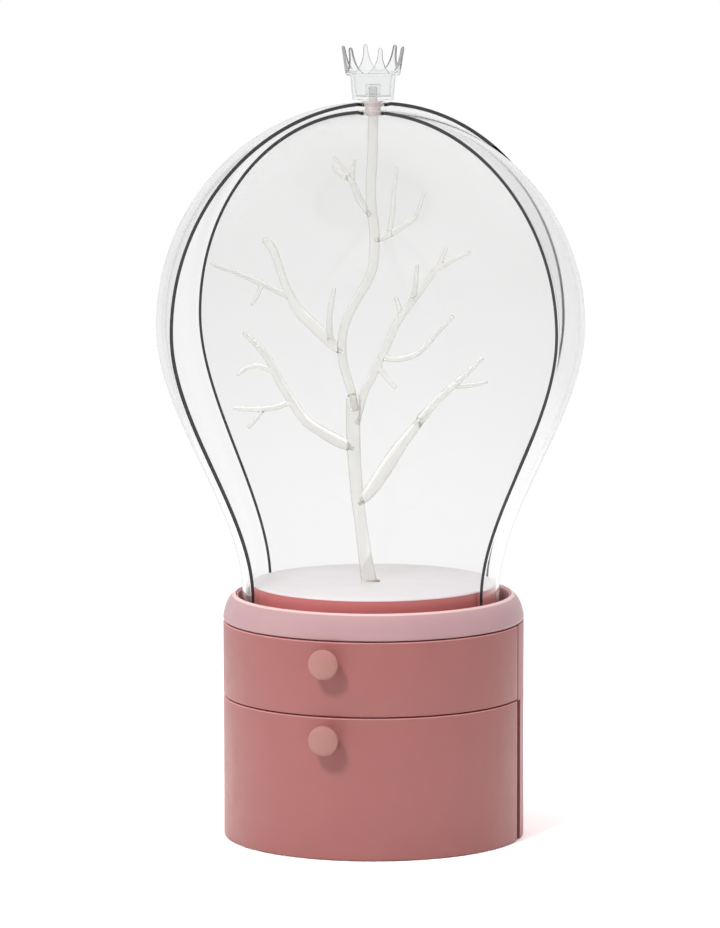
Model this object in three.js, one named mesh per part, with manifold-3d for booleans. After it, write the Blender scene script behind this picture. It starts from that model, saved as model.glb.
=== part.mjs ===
// Rotating jewelry box: a round drum with two pull-out drawers, a turntable that carries a
// clear branching stand, and two nested clear half domes that turn about the drum's axis.
// Millimetres, Z up. The floor is Z = 0, the drum's axis is the Z axis, and the drawers open
// towards -Y. A bearing is an angle in degrees about Z, from -Y towards +X.

import * as THREE from 'three';
import { mergeVertices } from 'three/addons/utils/BufferGeometryUtils.js';
import Module from 'manifold-3d';

const wasm = await Module();
wasm.setup();

// Fits
const fitGap = 0.3; // between pieces that touch
const boreGap = 0.25; // round a shank or a plug in its hole
const overrun = 1; // how far a cutter runs past what it cuts

// Drum
const drumRadius = 80;
const lowerFrontHeight = 76; // top of the lower drawer's front above the floor
const upperFrontHeight = 40;
const housingWall = 3;
const seamGap = 0.8; // between the drawer fronts, and to the collar
const frontEndGap = 0.8; // between a drawer front's ends and the housing
const wallNotch = 4.5; // cut from the ends of the housing's wall beside the lower front
const edgeBevel = 0.6;
const frontBearing = 0; // the way the drawers open
const rearBearing = 180;

// Floor, shelf and deck
const drumStandOff = 0.3; // of the drum's lower edge above the table
const padThickness = 1.2;
const padInset = 14; // from the drum's side
const plateThickness = 4;
const shelfThickness = 3;
const deckThickness = 3.5;
const deckToFrontGap = 0.6; // between the drawer fronts and the edges of plate, shelf and deck
const deckHoleRadius = 11;

// Drawers
const trayBossGap = 1; // between the tray and the floor's screw bosses
const trayWall = 2.2;
const trayFloor = 2;
const trayHeadroom = 1.2; // under the shelf or the deck
const skidHeight = 2;
const skidWidth = 2;
const railHeight = 1.7;
const railWidth = 3;
const railSideGap = 0.5;
const railOffset = 26; // from the drum's middle
const railFrontInset = 7; // from the tray's front and rear edges
const railRearInset = 17;
const stopInset = 18; // of the stop's rear face, from the tray's front edge
const catchInset = 25.7; // of the catch's front face, from the tray's rear edge, for 90 of travel
const stopLength = 3;
const stopWidth = 16;

// Knobs
const knobDrop = 10.5; // below the top edge of its front
const knobRadius = 8;
const knobDepth = 13;
const knobNeckRadius = 4.6;
const knobNeckLength = 3.4;
const knobCrownDepth = 3.4;
const knobScrewReach = 8;

// Screws
const screwHeadRadius = 2.75;
const screwHeadHeight = 1.6;
const screwShankRadius = 1.4;
const baseScrewReach = 9; // into its boss
const coverScrewReach = 7.5;
const screwBossRadius = 4;
const screwBossRoof = 2; // above the end of a blind hole
const baseBossInset = 8; // from the drum's side to the middle of a boss
const baseBossBearings = [120, 180, 240];
const coverBossInset = 30;
const coverBossBearings = [60, 180, 300];

// Collar and groove
const collarHeight = 14;
const collarWidth = 8; // from the drum's side to the groove
const collarBand = 2.2; // upright band under the collar's round shoulder
const collarLip = 1.5; // flat top of the rim
const shoulderInset = 1.7; // places the round shoulder's control point
const shoulderDrop = 1.8;
const coverFloor = 2.7;

// Dome shells
const domeRadius = 115;
const domeWall = 1.8;
const equatorRise = 137; // above the turntable's top
const apexRise = 118.6; // above the equator
const shellGap = 1; // between the two shells
const apexGap = 3; // between the two shells at the top
const rimGap = 2.1; // between the outer shell and the collar
const shellLift = 0.4; // above the groove's floor
const bulgeHandle = 47;
const neckHandle = 44;
const neckFlare = 1;
const outerHoleRadius = 5.4;
const outerEyeRadius = 9;
const innerHoleRadius = 4.5;
const innerEyeRadius = 7.5;
const outerShellBearing = 220.5; // the middle of the half circle that it covers
const innerShellBearing = 165;

// Turntable
const platformRise = 6; // above the collar's rim
const platformThickness = 3;
const platformWall = 2.5;
const platformRunGap = 0.8; // to the inner shell
const platformSkirtGap = 1.2; // above the groove's floor
const platformEdgeRound = 1;
const spindleRadius = 5;
const hubRadius = 9;
const hubHeight = 8; // of the cover's hub, above the groove's floor
const bearingThickness = 1;
const washerRadius = 8;
const washerThickness = 1;
const spindleScrewReach = 9;
const spindleStandout = 0.2; // how far the spindle stands out under the cover

// Stand
const standBearing = 17; // turns the stand's side and depth directions about the axis
const standToDomeGap = 10.4;
const standGirth = 5; // the thickest radius of its limbs
const footPlugRadius = 3.4;
const footPlugLength = 7.5;
const footPlugStandout = 0.6; // above the platform, inside the trunk's foot
const trunkPlugRadius = 1.7;
const trunkPlugLength = 5;
const branchPlugRadius = 1.1;
const branchPlugLength = 7;
const tipPinRadius = 2;

// Dome bushing
const bushingNeckRadius = 4;
const bushingTopRadius = 5.1;
const bushingNeckLength = 3.2;
const bushingFlangeHeight = 1.2;
const bushingRise = 0.6; // above the outer shell's top

// Crown
const cupFootRadius = 10.8;
const cupTopRadius = 12.1;
const cupHeight = 13;
const cupWall = 1.6;
const cupFloor = 2;
const postRadius = 3.9;
const postHeight = 6.2; // above the cup's floor
const postRoof = 1.2;
const crownHeight = 28.3;
const crownFootRadius = 14.3;
const crownTipRadius = 17.2;
const crownWall = 1.5;
const prongCount = 6;
const prongTipWidth = 1.9;
const valleyRise = 1.8; // of the valleys' bottoms above the cup
const prongBearing = 31;

// Facets
const roundFacets = 40;
const crownFacets = 30;
const smallFacets = 16;
const screwFacets = 10;
const trunkFacets = 8;
const branchFacets = 6;
const limbStep = 9; // length of one facet along a limb

// Heights that follow from the sizes
const plateBottom = drumStandOff;
const plateTop = plateBottom + plateThickness;
const shelfTop = lowerFrontHeight;
const drumTop = lowerFrontHeight + upperFrontHeight;
const coverBottom = drumTop + fitGap;
const grooveFloor = coverBottom + coverFloor;
const collarTop = drumTop + collarHeight;
const platformTop = collarTop + platformRise;
const equatorZ = platformTop + equatorRise;
const apexZ = equatorZ + apexRise;
const hubTop = grooveFloor + hubHeight;
const bearingBottom = hubTop + fitGap;
const platformHubBottom = bearingBottom + bearingThickness + fitGap;
const spindleBottom = coverBottom - spindleStandout;

// Radii that follow from the sizes
const housingInside = drumRadius - housingWall;
const deckRadius = housingInside - deckToFrontGap;
const padRadius = drumRadius - padInset;
const baseBossCircle = drumRadius - baseBossInset;
const coverBossCircle = drumRadius - coverBossInset;
const trayRadius = baseBossCircle - screwBossRadius - trayBossGap;
const railFrontReach = trayRadius - railFrontInset;
const railRearReach = trayRadius - railRearInset;
const stopSetback = trayRadius - stopInset;
const grooveRadius = drumRadius - collarWidth;
const outerNeckRadius = grooveRadius - rimGap;
const innerNeckRadius = outerNeckRadius - domeWall - shellGap;
const platformRadius = innerNeckRadius - domeWall - platformRunGap;
const innerDomeRadius = domeRadius - domeWall - shellGap;
const innerApexZ = apexZ - domeWall - apexGap;
const pilotRadius = screwShankRadius + boreGap;

// The stand reaches from the platform to the dome bushing, and its pin goes on into the crown
const bushingBottom = innerApexZ - domeWall;
const bushingTop = apexZ + bushingRise;
const crownBottom = bushingTop + fitGap;
const postTop = crownBottom + cupFloor + postHeight;
const postBoreTop = postTop - postRoof;
const standHeight = bushingBottom - fitGap - platformTop;
const standReach = innerDomeRadius - domeWall - standToDomeGap;

// Solids

function toSolid(geometry) {
  const bare = geometry.clone();
  bare.deleteAttribute('normal');
  bare.deleteAttribute('uv');
  const welded = mergeVertices(bare);
  const corners = welded.index.array;
  const triangles = [];
  for (let start = 0; start < corners.length; start += 3) {
    const [a, b, c] = corners.slice(start, start + 3);
    if (a !== b && b !== c && c !== a) {
      triangles.push(a, b, c);
    }
  }
  const mesh = new wasm.Mesh({
    numProp: 3,
    vertProperties: Float32Array.from(welded.attributes.position.array),
    triVerts: Uint32Array.from(triangles),
  });
  return new wasm.Manifold(mesh);
}

function toGeometry(solid) {
  const mesh = solid.getMesh();
  const geometry = new THREE.BufferGeometry();
  geometry.setAttribute('position', new THREE.BufferAttribute(mesh.vertProperties, 3));
  geometry.setIndex(new THREE.BufferAttribute(mesh.triVerts, 1));
  geometry.computeVertexNormals();
  return geometry;
}

function join(solids) {
  return solids.reduce((whole, solid) => whole.add(solid));
}

function cut(solid, cutters) {
  return cutters.reduce((rest, cutter) => rest.subtract(cutter), solid);
}

// A solid of revolution about Z, from an outline of [radius, height] pairs
function turned(outline, facets) {
  const points = outline.map(([radius, height]) => new THREE.Vector2(radius, height));
  const isClosed = outline[0][0] > 0;
  if (isClosed) {
    points.push(points[0].clone());
  }
  return toSolid(new THREE.LatheGeometry(points, facets).rotateX(Math.PI / 2));
}

function disc(radius, bottom, top, facets = roundFacets) {
  return turned([[0, bottom], [radius, bottom], [radius, top], [0, top]], facets);
}

function ring(innerRadius, outerRadius, bottom, top, facets = roundFacets) {
  const outline = [
    [innerRadius, bottom],
    [outerRadius, bottom],
    [outerRadius, top],
    [innerRadius, top],
  ];
  return turned(outline, facets);
}

function block(low, high) {
  const size = high.map((value, axis) => value - low[axis]);
  const middle = high.map((value, axis) => (value + low[axis]) / 2);
  return toSolid(new THREE.BoxGeometry(...size).translate(...middle));
}

// The half of space on one side of the axis, as a block that reaches past a given radius
function halfSpace(bearing, setback, reach, bottom, top) {
  const depth = reach - setback;
  const box = new THREE.BoxGeometry(2 * reach, depth, top - bottom);
  box.translate(0, -(setback + depth / 2), (bottom + top) / 2);
  return toSolid(box.rotateZ(THREE.MathUtils.degToRad(bearing)));
}

function placeAt(radius, bearing) {
  const angle = THREE.MathUtils.degToRad(bearing);
  return [radius * Math.sin(angle), -radius * Math.cos(angle)];
}

function pillar(radius, bottom, top, place) {
  return disc(radius, bottom, top, smallFacets).translate([...place, 0]);
}

// Points of a quarter ellipse or less, about [centreRadius, centreHeight]
function arcPoints(centreRadius, centreHeight, across, up, fromAngle, toAngle, steps) {
  const points = [];
  for (let step = 0; step <= steps; step += 1) {
    const angle = THREE.MathUtils.lerp(fromAngle, toAngle, step / steps);
    points.push([centreRadius + across * Math.cos(angle), centreHeight + up * Math.sin(angle)]);
  }
  return points;
}

function bezierPoints(curve, steps) {
  return curve.getPoints(steps).map((point) => [point.x, point.y]);
}

// Scene pieces

const standMaterial = { color: 0xe6e4de, roughness: 0.25, metalness: 0, opacity: 0.55 };
const domeMaterial = { color: 0xeef0f0, roughness: 0.08, metalness: 0, opacity: 0.28 };
const crownMaterial = { color: 0xeeeeec, roughness: 0.12, metalness: 0, opacity: 0.4 };
const drumMaterial = { color: 0xb9777a, roughness: 0.55, metalness: 0 };
const collarMaterial = { color: 0xc28f91, roughness: 0.5, metalness: 0 };
const platformMaterial = { color: 0xd9cfcd, roughness: 0.6, metalness: 0 };
const knobMaterial = { color: 0xcf9d9a, roughness: 0.4, metalness: 0 };
const bushingMaterial = { color: 0xc9a8a4, roughness: 0.45, metalness: 0 };
const padMaterial = { color: 0x2d2b2b, roughness: 0.9, metalness: 0 };
const bearingMaterial = { color: 0xf2f0ea, roughness: 0.4, metalness: 0 };
const steelMaterial = { color: 0xa9abad, roughness: 0.35, metalness: 1 };

function piece(name, solid, look) {
  const isClear = look.opacity !== undefined;
  const material = new THREE.MeshStandardMaterial({ ...look, transparent: isClear });
  const mesh = new THREE.Mesh(toGeometry(solid), material);
  mesh.name = name;
  return mesh;
}

// Screws stand on their heads at the origin, with the shank along +Z
function screw(reach) {
  const headTop = screwHeadHeight;
  const outline = [
    [0, 0],
    [screwHeadRadius - edgeBevel, 0],
    [screwHeadRadius, edgeBevel],
    [screwHeadRadius, headTop],
    [screwShankRadius, headTop],
    [screwShankRadius, headTop + reach],
    [0, headTop + reach],
  ];
  return turned(outline, screwFacets);
}

// Floor

function basePad() {
  return piece('base_pad', disc(padRadius, 0, padThickness), padMaterial);
}

function rails(deckTop) {
  const solids = [-1, 1].map((side) => {
    const middle = side * railOffset;
    const low = [middle - railWidth / 2, -railFrontReach, deckTop - overrun];
    const high = [middle + railWidth / 2, railRearReach, deckTop + railHeight];
    return block(low, high);
  });
  const stopLow = [-stopWidth / 2, -stopSetback - stopLength, deckTop - overrun];
  const stopHigh = [stopWidth / 2, -stopSetback, deckTop + railHeight];
  return [...solids, block(stopLow, stopHigh)];
}

function basePlate() {
  const holes = baseBossBearings.flatMap((bearing) => {
    const place = placeAt(baseBossCircle, bearing);
    const headDepth = plateBottom + screwHeadHeight + fitGap;
    return [
      pillar(pilotRadius, plateBottom - overrun, plateTop + overrun, place),
      pillar(screwHeadRadius + fitGap, plateBottom - overrun, headDepth, place),
    ];
  });
  const recess = disc(padRadius + fitGap, plateBottom - overrun, padThickness + fitGap);
  const plate = join([disc(deckRadius, plateBottom, plateTop), ...rails(plateTop)]);
  return piece('base_plate', cut(plate, [recess, ...holes]), drumMaterial);
}

function baseScrews() {
  return baseBossBearings.map((bearing, index) => {
    const shank = plateThickness - screwHeadHeight + baseScrewReach;
    const mesh = piece(`base_screw_${index + 1}`, screw(shank), steelMaterial);
    mesh.position.set(...placeAt(baseBossCircle, bearing), plateBottom);
    return mesh;
  });
}

// Housing: the half-round rear wall with the shelf and the top deck in one moulding

function baseBoss(bearing) {
  const bottom = plateTop + fitGap;
  const top = plateTop + baseScrewReach + screwBossRoof;
  const place = placeAt(baseBossCircle, bearing);
  const web = new THREE.BoxGeometry(
    2 * screwBossRadius,
    housingInside + overrun - baseBossCircle,
    top - bottom,
  );
  web.translate(0, -(housingInside + overrun + baseBossCircle) / 2, (top + bottom) / 2);
  web.rotateZ(THREE.MathUtils.degToRad(bearing));
  return toSolid(web).add(pillar(screwBossRadius, bottom, top, place));
}

function rearHousing() {
  const wallOutline = [
    [housingInside, plateBottom],
    [drumRadius - edgeBevel, plateBottom],
    [drumRadius, plateBottom + edgeBevel],
    [drumRadius, drumTop],
    [housingInside, drumTop],
  ];
  const rearHalf = halfSpace(rearBearing, 0, drumRadius + overrun, 0, drumTop + overrun);
  const rearDeck = (bottom, top) => disc(housingInside + overrun, bottom, top).intersect(rearHalf);
  const shelfBottom = shelfTop - shelfThickness;
  const deckBottom = drumTop - deckThickness;
  const solids = [
    turned(wallOutline, roundFacets).intersect(rearHalf),
    disc(deckRadius, shelfBottom, shelfTop),
    rearDeck(shelfBottom, shelfTop),
    disc(deckRadius, deckBottom, drumTop),
    rearDeck(deckBottom, drumTop),
    ...rails(shelfTop),
    ...baseBossBearings.map(baseBoss),
  ];
  const pilots = baseBossBearings.map((bearing) => {
    const top = plateTop + baseScrewReach + fitGap;
    return pillar(pilotRadius, 0, top, placeAt(baseBossCircle, bearing));
  });
  const coverHoles = coverBossBearings.flatMap((bearing) => {
    const place = placeAt(coverBossCircle, bearing);
    const headTop = deckBottom + screwHeadHeight + fitGap + fitGap;
    return [
      pillar(pilotRadius, deckBottom - overrun, drumTop + overrun, place),
      pillar(screwHeadRadius + fitGap, deckBottom - overrun, headTop, place),
    ];
  });
  const washerHole = disc(deckHoleRadius, deckBottom - overrun, drumTop + overrun, smallFacets);
  const notchNear = housingInside - fitGap;
  const notchFar = drumRadius + overrun;
  const notchTop = shelfTop - seamGap / 2;
  const notches = [
    block([notchNear, -overrun, 0], [notchFar, wallNotch, notchTop]),
    block([-notchFar, -overrun, 0], [-notchNear, wallNotch, notchTop]),
  ];
  const cutters = [...pilots, ...coverHoles, washerHole, ...notches];
  const housing = cut(join(solids), cutters);
  return piece('rear_housing', housing, drumMaterial);
}

// Cover: the collar, the groove that the shells run in, and the turntable's hub

function topCover() {
  const bandTop = coverBottom + collarBand;
  const rimRadius = grooveRadius + collarLip;
  const shoulder = new THREE.QuadraticBezierCurve(
    new THREE.Vector2(drumRadius, bandTop),
    new THREE.Vector2(drumRadius - shoulderInset, collarTop - shoulderDrop),
    new THREE.Vector2(rimRadius, collarTop),
  );
  const outline = [
    [spindleRadius + boreGap, coverBottom],
    [drumRadius - edgeBevel, coverBottom],
    [drumRadius, coverBottom + edgeBevel],
    ...bezierPoints(shoulder, 5),
    [grooveRadius + edgeBevel, collarTop],
    [grooveRadius, collarTop - edgeBevel],
    [grooveRadius, grooveFloor],
    [hubRadius, grooveFloor],
    [hubRadius, hubTop],
    [spindleRadius + boreGap, hubTop],
  ];
  const bossTop = coverBottom + coverScrewReach + screwBossRoof;
  const holeTop = coverBottom + coverScrewReach + fitGap;
  const places = coverBossBearings.map((bearing) => placeAt(coverBossCircle, bearing));
  const bosses = places.map((place) =>
    pillar(screwBossRadius, coverBottom, bossTop, place));
  const pilots = places.map((place) =>
    pillar(pilotRadius, coverBottom - overrun, holeTop, place));
  const cover = cut(join([turned(outline, roundFacets), ...bosses]), pilots);
  return piece('top_cover', cover, collarMaterial);
}

function coverScrews() {
  return coverBossBearings.map((bearing, index) => {
    const shank = deckThickness - screwHeadHeight - fitGap + coverScrewReach;
    const mesh = piece(`cover_screw_${index + 1}`, screw(shank), steelMaterial);
    const bottom = drumTop - deckThickness + fitGap;
    mesh.position.set(...placeAt(coverBossCircle, bearing), bottom);
    return mesh;
  });
}

// Turntable

function platform() {
  const edgeCentre = platformRadius - platformEdgeRound;
  const outline = [
    [0, spindleBottom],
    [spindleRadius, spindleBottom],
    [spindleRadius, platformHubBottom],
    [hubRadius, platformHubBottom],
    [hubRadius, platformTop - platformThickness],
    [platformRadius - platformWall, platformTop - platformThickness],
    [platformRadius - platformWall, grooveFloor + platformSkirtGap],
    [platformRadius, grooveFloor + platformSkirtGap],
    ...arcPoints(
      edgeCentre,
      platformTop - platformEdgeRound,
      platformEdgeRound,
      platformEdgeRound,
      0,
      Math.PI / 2,
      3,
    ),
    [0, platformTop],
  ];
  const socketBottom = platformTop - footPlugLength - fitGap;
  const socket = disc(
    footPlugRadius + boreGap,
    socketBottom,
    platformTop + overrun,
    smallFacets,
  );
  const pilotTop = spindleBottom + spindleScrewReach + fitGap;
  const pilot = disc(pilotRadius, spindleBottom - overrun, pilotTop, smallFacets);
  const table = cut(turned(outline, roundFacets), [socket, pilot]);
  return piece('turntable_platform', table, platformMaterial);
}

function bearingRing() {
  const bearing = ring(
    spindleRadius + fitGap,
    hubRadius,
    bearingBottom,
    bearingBottom + bearingThickness,
    smallFacets,
  );
  return piece('platform_bearing_ring', bearing, bearingMaterial);
}

function spindleWasher() {
  const top = spindleBottom - fitGap;
  const bottom = top - washerThickness;
  const washer = ring(pilotRadius, washerRadius, bottom, top, smallFacets);
  return piece('spindle_washer', washer, steelMaterial);
}

function spindleScrew() {
  const headTop = spindleBottom - fitGap - washerThickness - fitGap;
  const shank = fitGap + washerThickness + fitGap + spindleScrewReach;
  const mesh = piece('spindle_screw', screw(shank), steelMaterial);
  mesh.position.set(0, 0, headTop - screwHeadHeight);
  return mesh;
}

// Stand: limbs that follow a route of shares. A row is the place to the side and in depth, as
// shares of the stand's reach, the height as a share of its height, and the limb's radius as a
// share of its girth.

const lowerTrunkShares = [
  [-0.024, -0.012, 0.001, 0.86],
  [-0.042, -0.01, 0.047, 0.74],
  [-0.056, -0.003, 0.089, 0.69],
  [-0.069, 0.006, 0.132, 0.66],
  [-0.084, 0.015, 0.175, 0.67],
  [-0.093, 0.025, 0.217, 0.69],
  [-0.1, 0.03, 0.256, 0.7],
  [-0.106, 0.03, 0.295, 0.76],
  [-0.107, 0.03, 0.351, 0.76],
  [-0.107, 0.03, 0.389, 0.74],
];

const upperTrunkShares = [
  [-0.108, 0.03, 0.387, 0.42],
  [-0.116, 0.03, 0.407, 0.46],
  [-0.134, 0.03, 0.432, 0.48],
  [-0.154, 0.025, 0.459, 0.48],
  [-0.164, 0.022, 0.483, 0.48],
  [-0.166, 0.02, 0.508, 0.48],
  [-0.16, 0.01, 0.536, 0.48],
  [-0.139, 0, 0.564, 0.48],
  [-0.108, -0.01, 0.591, 0.48],
  [-0.078, -0.013, 0.613, 0.48],
  [-0.03, -0.018, 0.646, 0.5],
  [-0.002, -0.02, 0.677, 0.52],
  [0.007, -0.02, 0.713, 0.55],
  [0.006, -0.015, 0.755, 0.55],
  [-0.007, -0.01, 0.797, 0.55],
  [-0.012, -0.005, 0.84, 0.55],
  [-0.008, 0, 0.882, 0.55],
  [-0.002, 0, 0.925, 0.55],
  [0, 0, 0.99, 0.55],
];

const branchShares = {
  lower_left_branch: [
    [
      [-0.108, 0.028, 0.286, 0.45],
      [-0.188, -0.005, 0.303, 0.66],
      [-0.275, -0.04, 0.325, 0.58],
      [-0.362, -0.07, 0.351, 0.52],
      [-0.43, -0.09, 0.393, 0.48],
      [-0.49, -0.11, 0.433, 0.44],
      [-0.545, -0.13, 0.479, 0.4],
      [-0.607, -0.16, 0.514, 0.34],
      [-0.675, -0.19, 0.541, 0.24],
    ],
    [
      [-0.43, -0.09, 0.393, 0.36],
      [-0.521, -0.05, 0.378, 0.34],
      [-0.622, -0.02, 0.372, 0.3],
      [-0.734, 0.02, 0.372, 0.24],
    ],
    [
      [-0.584, -0.035, 0.373, 0.26],
      [-0.621, -0.07, 0.354, 0.24],
      [-0.657, -0.11, 0.339, 0.2],
    ],
    [
      [-0.516, -0.12, 0.457, 0.34],
      [-0.609, -0.1, 0.469, 0.28],
      [-0.667, -0.08, 0.463, 0.24],
      [-0.715, -0.07, 0.45, 0.2],
    ],
  ],
  upper_left_branch: [
    [
      [-0.166, 0.02, 0.493, 0.4],
      [-0.219, 0.04, 0.51, 0.56],
      [-0.306, 0.07, 0.543, 0.62],
      [-0.394, 0.1, 0.577, 0.56],
      [-0.437, 0.13, 0.606, 0.46],
      [-0.474, 0.16, 0.637, 0.42],
      [-0.501, 0.19, 0.67, 0.42],
      [-0.533, 0.21, 0.704, 0.44],
      [-0.57, 0.24, 0.722, 0.4],
    ],
    [
      [-0.439, 0.135, 0.607, 0.36],
      [-0.521, 0.12, 0.622, 0.34],
      [-0.629, 0.08, 0.644, 0.3],
      [-0.742, 0.04, 0.664, 0.26],
      [-0.852, 0.01, 0.681, 0.2],
    ],
    [
      [-0.219, 0.036, 0.509, 0.34],
      [-0.231, -0.02, 0.538, 0.34],
      [-0.228, -0.06, 0.582, 0.3],
      [-0.207, -0.09, 0.63, 0.24],
    ],
    [
      [-0.59, 0.1, 0.633, 0.26],
      [-0.616, 0.06, 0.611, 0.22],
      [-0.642, 0.03, 0.595, 0.18],
    ],
  ],
  upper_right_branch: [
    [
      [-0.09, 0.042, 0.338, 0.38],
      [-0.047, 0.06, 0.405, 0.44],
      [-0.015, 0.062, 0.431, 0.46],
      [0.015, 0.068, 0.456, 0.46],
      [0.073, 0.085, 0.505, 0.44],
      [0.126, 0.1, 0.551, 0.42],
      [0.19, 0.12, 0.587, 0.38],
      [0.254, 0.14, 0.62, 0.34],
      [0.313, 0.16, 0.652, 0.3],
      [0.355, 0.17, 0.677, 0.26],
      [0.387, 0.18, 0.707, 0.2],
    ],
    [
      [0.323, 0.163, 0.66, 0.28],
      [0.392, 0.15, 0.677, 0.26],
      [0.45, 0.12, 0.691, 0.24],
      [0.508, 0.1, 0.702, 0.18],
    ],
    [
      [0.201, 0.122, 0.595, 0.32],
      [0.219, 0.08, 0.619, 0.3],
      [0.227, 0.05, 0.648, 0.26],
      [0.234, 0.03, 0.676, 0.2],
    ],
    [
      [0.041, 0.073, 0.479, 0.34],
      [0.136, 0.01, 0.478, 0.34],
      [0.242, -0.04, 0.495, 0.32],
      [0.337, -0.08, 0.538, 0.28],
      [0.416, -0.11, 0.573, 0.22],
    ],
    [
      [0.025, 0.068, 0.461, 0.32],
      [0.067, 0.03, 0.438, 0.28],
      [0.115, 0, 0.418, 0.22],
    ],
    [
      [0.148, 0.107, 0.563, 0.28],
      [0.137, 0.15, 0.584, 0.26],
      [0.121, 0.19, 0.601, 0.22],
    ],
  ],
  lower_right_branch: [
    [
      [-0.079, 0.015, 0.168, 0.4],
      [-0.037, -0.01, 0.186, 0.62],
      [0.015, -0.03, 0.215, 0.74],
      [0.078, -0.06, 0.256, 0.78],
      [0.146, -0.1, 0.299, 0.64],
      [0.225, -0.13, 0.341, 0.5],
      [0.32, -0.16, 0.39, 0.42],
      [0.417, -0.18, 0.428, 0.36],
      [0.499, -0.2, 0.46, 0.3],
      [0.572, -0.22, 0.49, 0.22],
    ],
    [
      [0.415, -0.18, 0.427, 0.3],
      [0.505, -0.15, 0.429, 0.26],
      [0.595, -0.13, 0.435, 0.2],
    ],
    [
      [0.225, -0.13, 0.341, 0.34],
      [0.25, -0.06, 0.359, 0.3],
      [0.285, 0, 0.371, 0.24],
    ],
  ],
  top_left_branch: [
    [
      [-0.012, -0.006, 0.786, 0.34],
      [-0.064, -0.02, 0.815, 0.38],
      [-0.093, -0.04, 0.841, 0.36],
      [-0.121, -0.05, 0.863, 0.32],
      [-0.169, -0.06, 0.874, 0.26],
      [-0.211, -0.06, 0.89, 0.2],
    ],
    [
      [-0.119, -0.045, 0.861, 0.28],
      [-0.143, -0.02, 0.879, 0.25],
      [-0.203, -0.01, 0.909, 0.19],
    ],
    [
      [-0.111, -0.043, 0.856, 0.28],
      [-0.108, -0.07, 0.88, 0.24],
      [-0.095, -0.09, 0.906, 0.18],
    ],
  ],
  top_right_branch: [
    [
      [0.015, -0.015, 0.734, 0.34],
      [0.063, -0.03, 0.742, 0.38],
      [0.121, -0.05, 0.755, 0.34],
      [0.179, -0.06, 0.77, 0.28],
      [0.226, -0.07, 0.786, 0.24],
      [0.268, -0.07, 0.836, 0.18],
    ],
    [
      [0.084, -0.032, 0.745, 0.3],
      [0.103, 0.02, 0.792, 0.28],
      [0.111, 0.05, 0.838, 0.24],
      [0.127, 0.07, 0.884, 0.18],
    ],
  ],
};

function limbPoints(rowsOfShares) {
  return rowsOfShares.map(([sideShare, depthShare, heightShare, girthShare]) => ({
    place: new THREE.Vector3(
      sideShare * standReach,
      depthShare * standReach,
      heightShare * standHeight,
    ),
    radius: girthShare * standGirth,
  }));
}

function radiusAlong(points, share) {
  const spot = share * (points.length - 1);
  const before = Math.min(Math.floor(spot), points.length - 2);
  return THREE.MathUtils.lerp(points[before].radius, points[before + 1].radius, spot - before);
}

// A closed round limb along a smooth route, with rounded ends
function limbGeometry(points, facets, extra) {
  const route = new THREE.CatmullRomCurve3(points.map((point) => point.place));
  const steps = Math.max(points.length - 1, Math.round(route.getLength() / limbStep));
  const frames = route.computeFrenetFrames(steps, false);
  const positions = [];
  const addRing = (centre, step, radius) => {
    for (let facet = 0; facet < facets; facet += 1) {
      const angle = (2 * Math.PI * facet) / facets;
      const spot = centre.clone();
      spot.addScaledVector(frames.normals[step], radius * Math.cos(angle));
      spot.addScaledVector(frames.binormals[step], radius * Math.sin(angle));
      positions.push(...spot.toArray());
    }
  };
  const addCapRing = (step, sense) => {
    const end = route.getPointAt(step / steps);
    const radius = radiusAlong(points, step / steps) + extra;
    end.addScaledVector(frames.tangents[step], sense * radius * Math.SQRT1_2);
    addRing(end, step, radius * Math.SQRT1_2);
  };
  const poleAt = (step, sense) => {
    const radius = radiusAlong(points, step / steps) + extra;
    const pole = route.getPointAt(step / steps);
    return pole.addScaledVector(frames.tangents[step], sense * radius);
  };
  addCapRing(0, -1);
  for (let step = 0; step <= steps; step += 1) {
    const along = step / steps;
    const share = route.getUtoTmapping(along);
    addRing(route.getPointAt(along), step, radiusAlong(points, share) + extra);
  }
  addCapRing(steps, 1);
  const ringCount = steps + 3;
  const firstPole = ringCount * facets;
  positions.push(...poleAt(0, -1).toArray(), ...poleAt(steps, 1).toArray());
  const index = [];
  for (let facet = 0; facet < facets; facet += 1) {
    const next = (facet + 1) % facets;
    const last = (ringCount - 1) * facets;
    index.push(firstPole, next, facet, firstPole + 1, last + facet, last + next);
    for (let start = 0; start < last; start += facets) {
      index.push(start + facet, start + next, start + facets + next);
      index.push(start + facet, start + facets + next, start + facets + facet);
    }
  }
  const geometry = new THREE.BufferGeometry();
  geometry.setAttribute('position', new THREE.Float32BufferAttribute(positions, 3));
  geometry.setIndex(index);
  return geometry;
}

function limb(rowsOfShares, facets, extra = 0) {
  return toSolid(limbGeometry(limbPoints(rowsOfShares), facets, extra));
}

// A straight plug from the first point of a route towards its second
function plug(rowsOfShares, radius, length, runBack) {
  const [start, next] = limbPoints(rowsOfShares);
  const heading = next.place.clone().sub(start.place).normalize();
  const peg = new THREE.CylinderGeometry(radius, radius, length + runBack, screwFacets);
  peg.translate(0, (length - runBack) / 2, 0);
  const turn = new THREE.Quaternion().setFromUnitVectors(new THREE.Vector3(0, 1, 0), heading);
  peg.applyQuaternion(turn);
  peg.translate(...start.place.toArray());
  return toSolid(peg);
}

function branchSocket(rowsOfShares) {
  return plug(rowsOfShares, branchPlugRadius + boreGap, branchPlugLength, fitGap);
}

const lowerTrunkBranches = ['lower_left_branch', 'lower_right_branch', 'upper_right_branch'];

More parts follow.
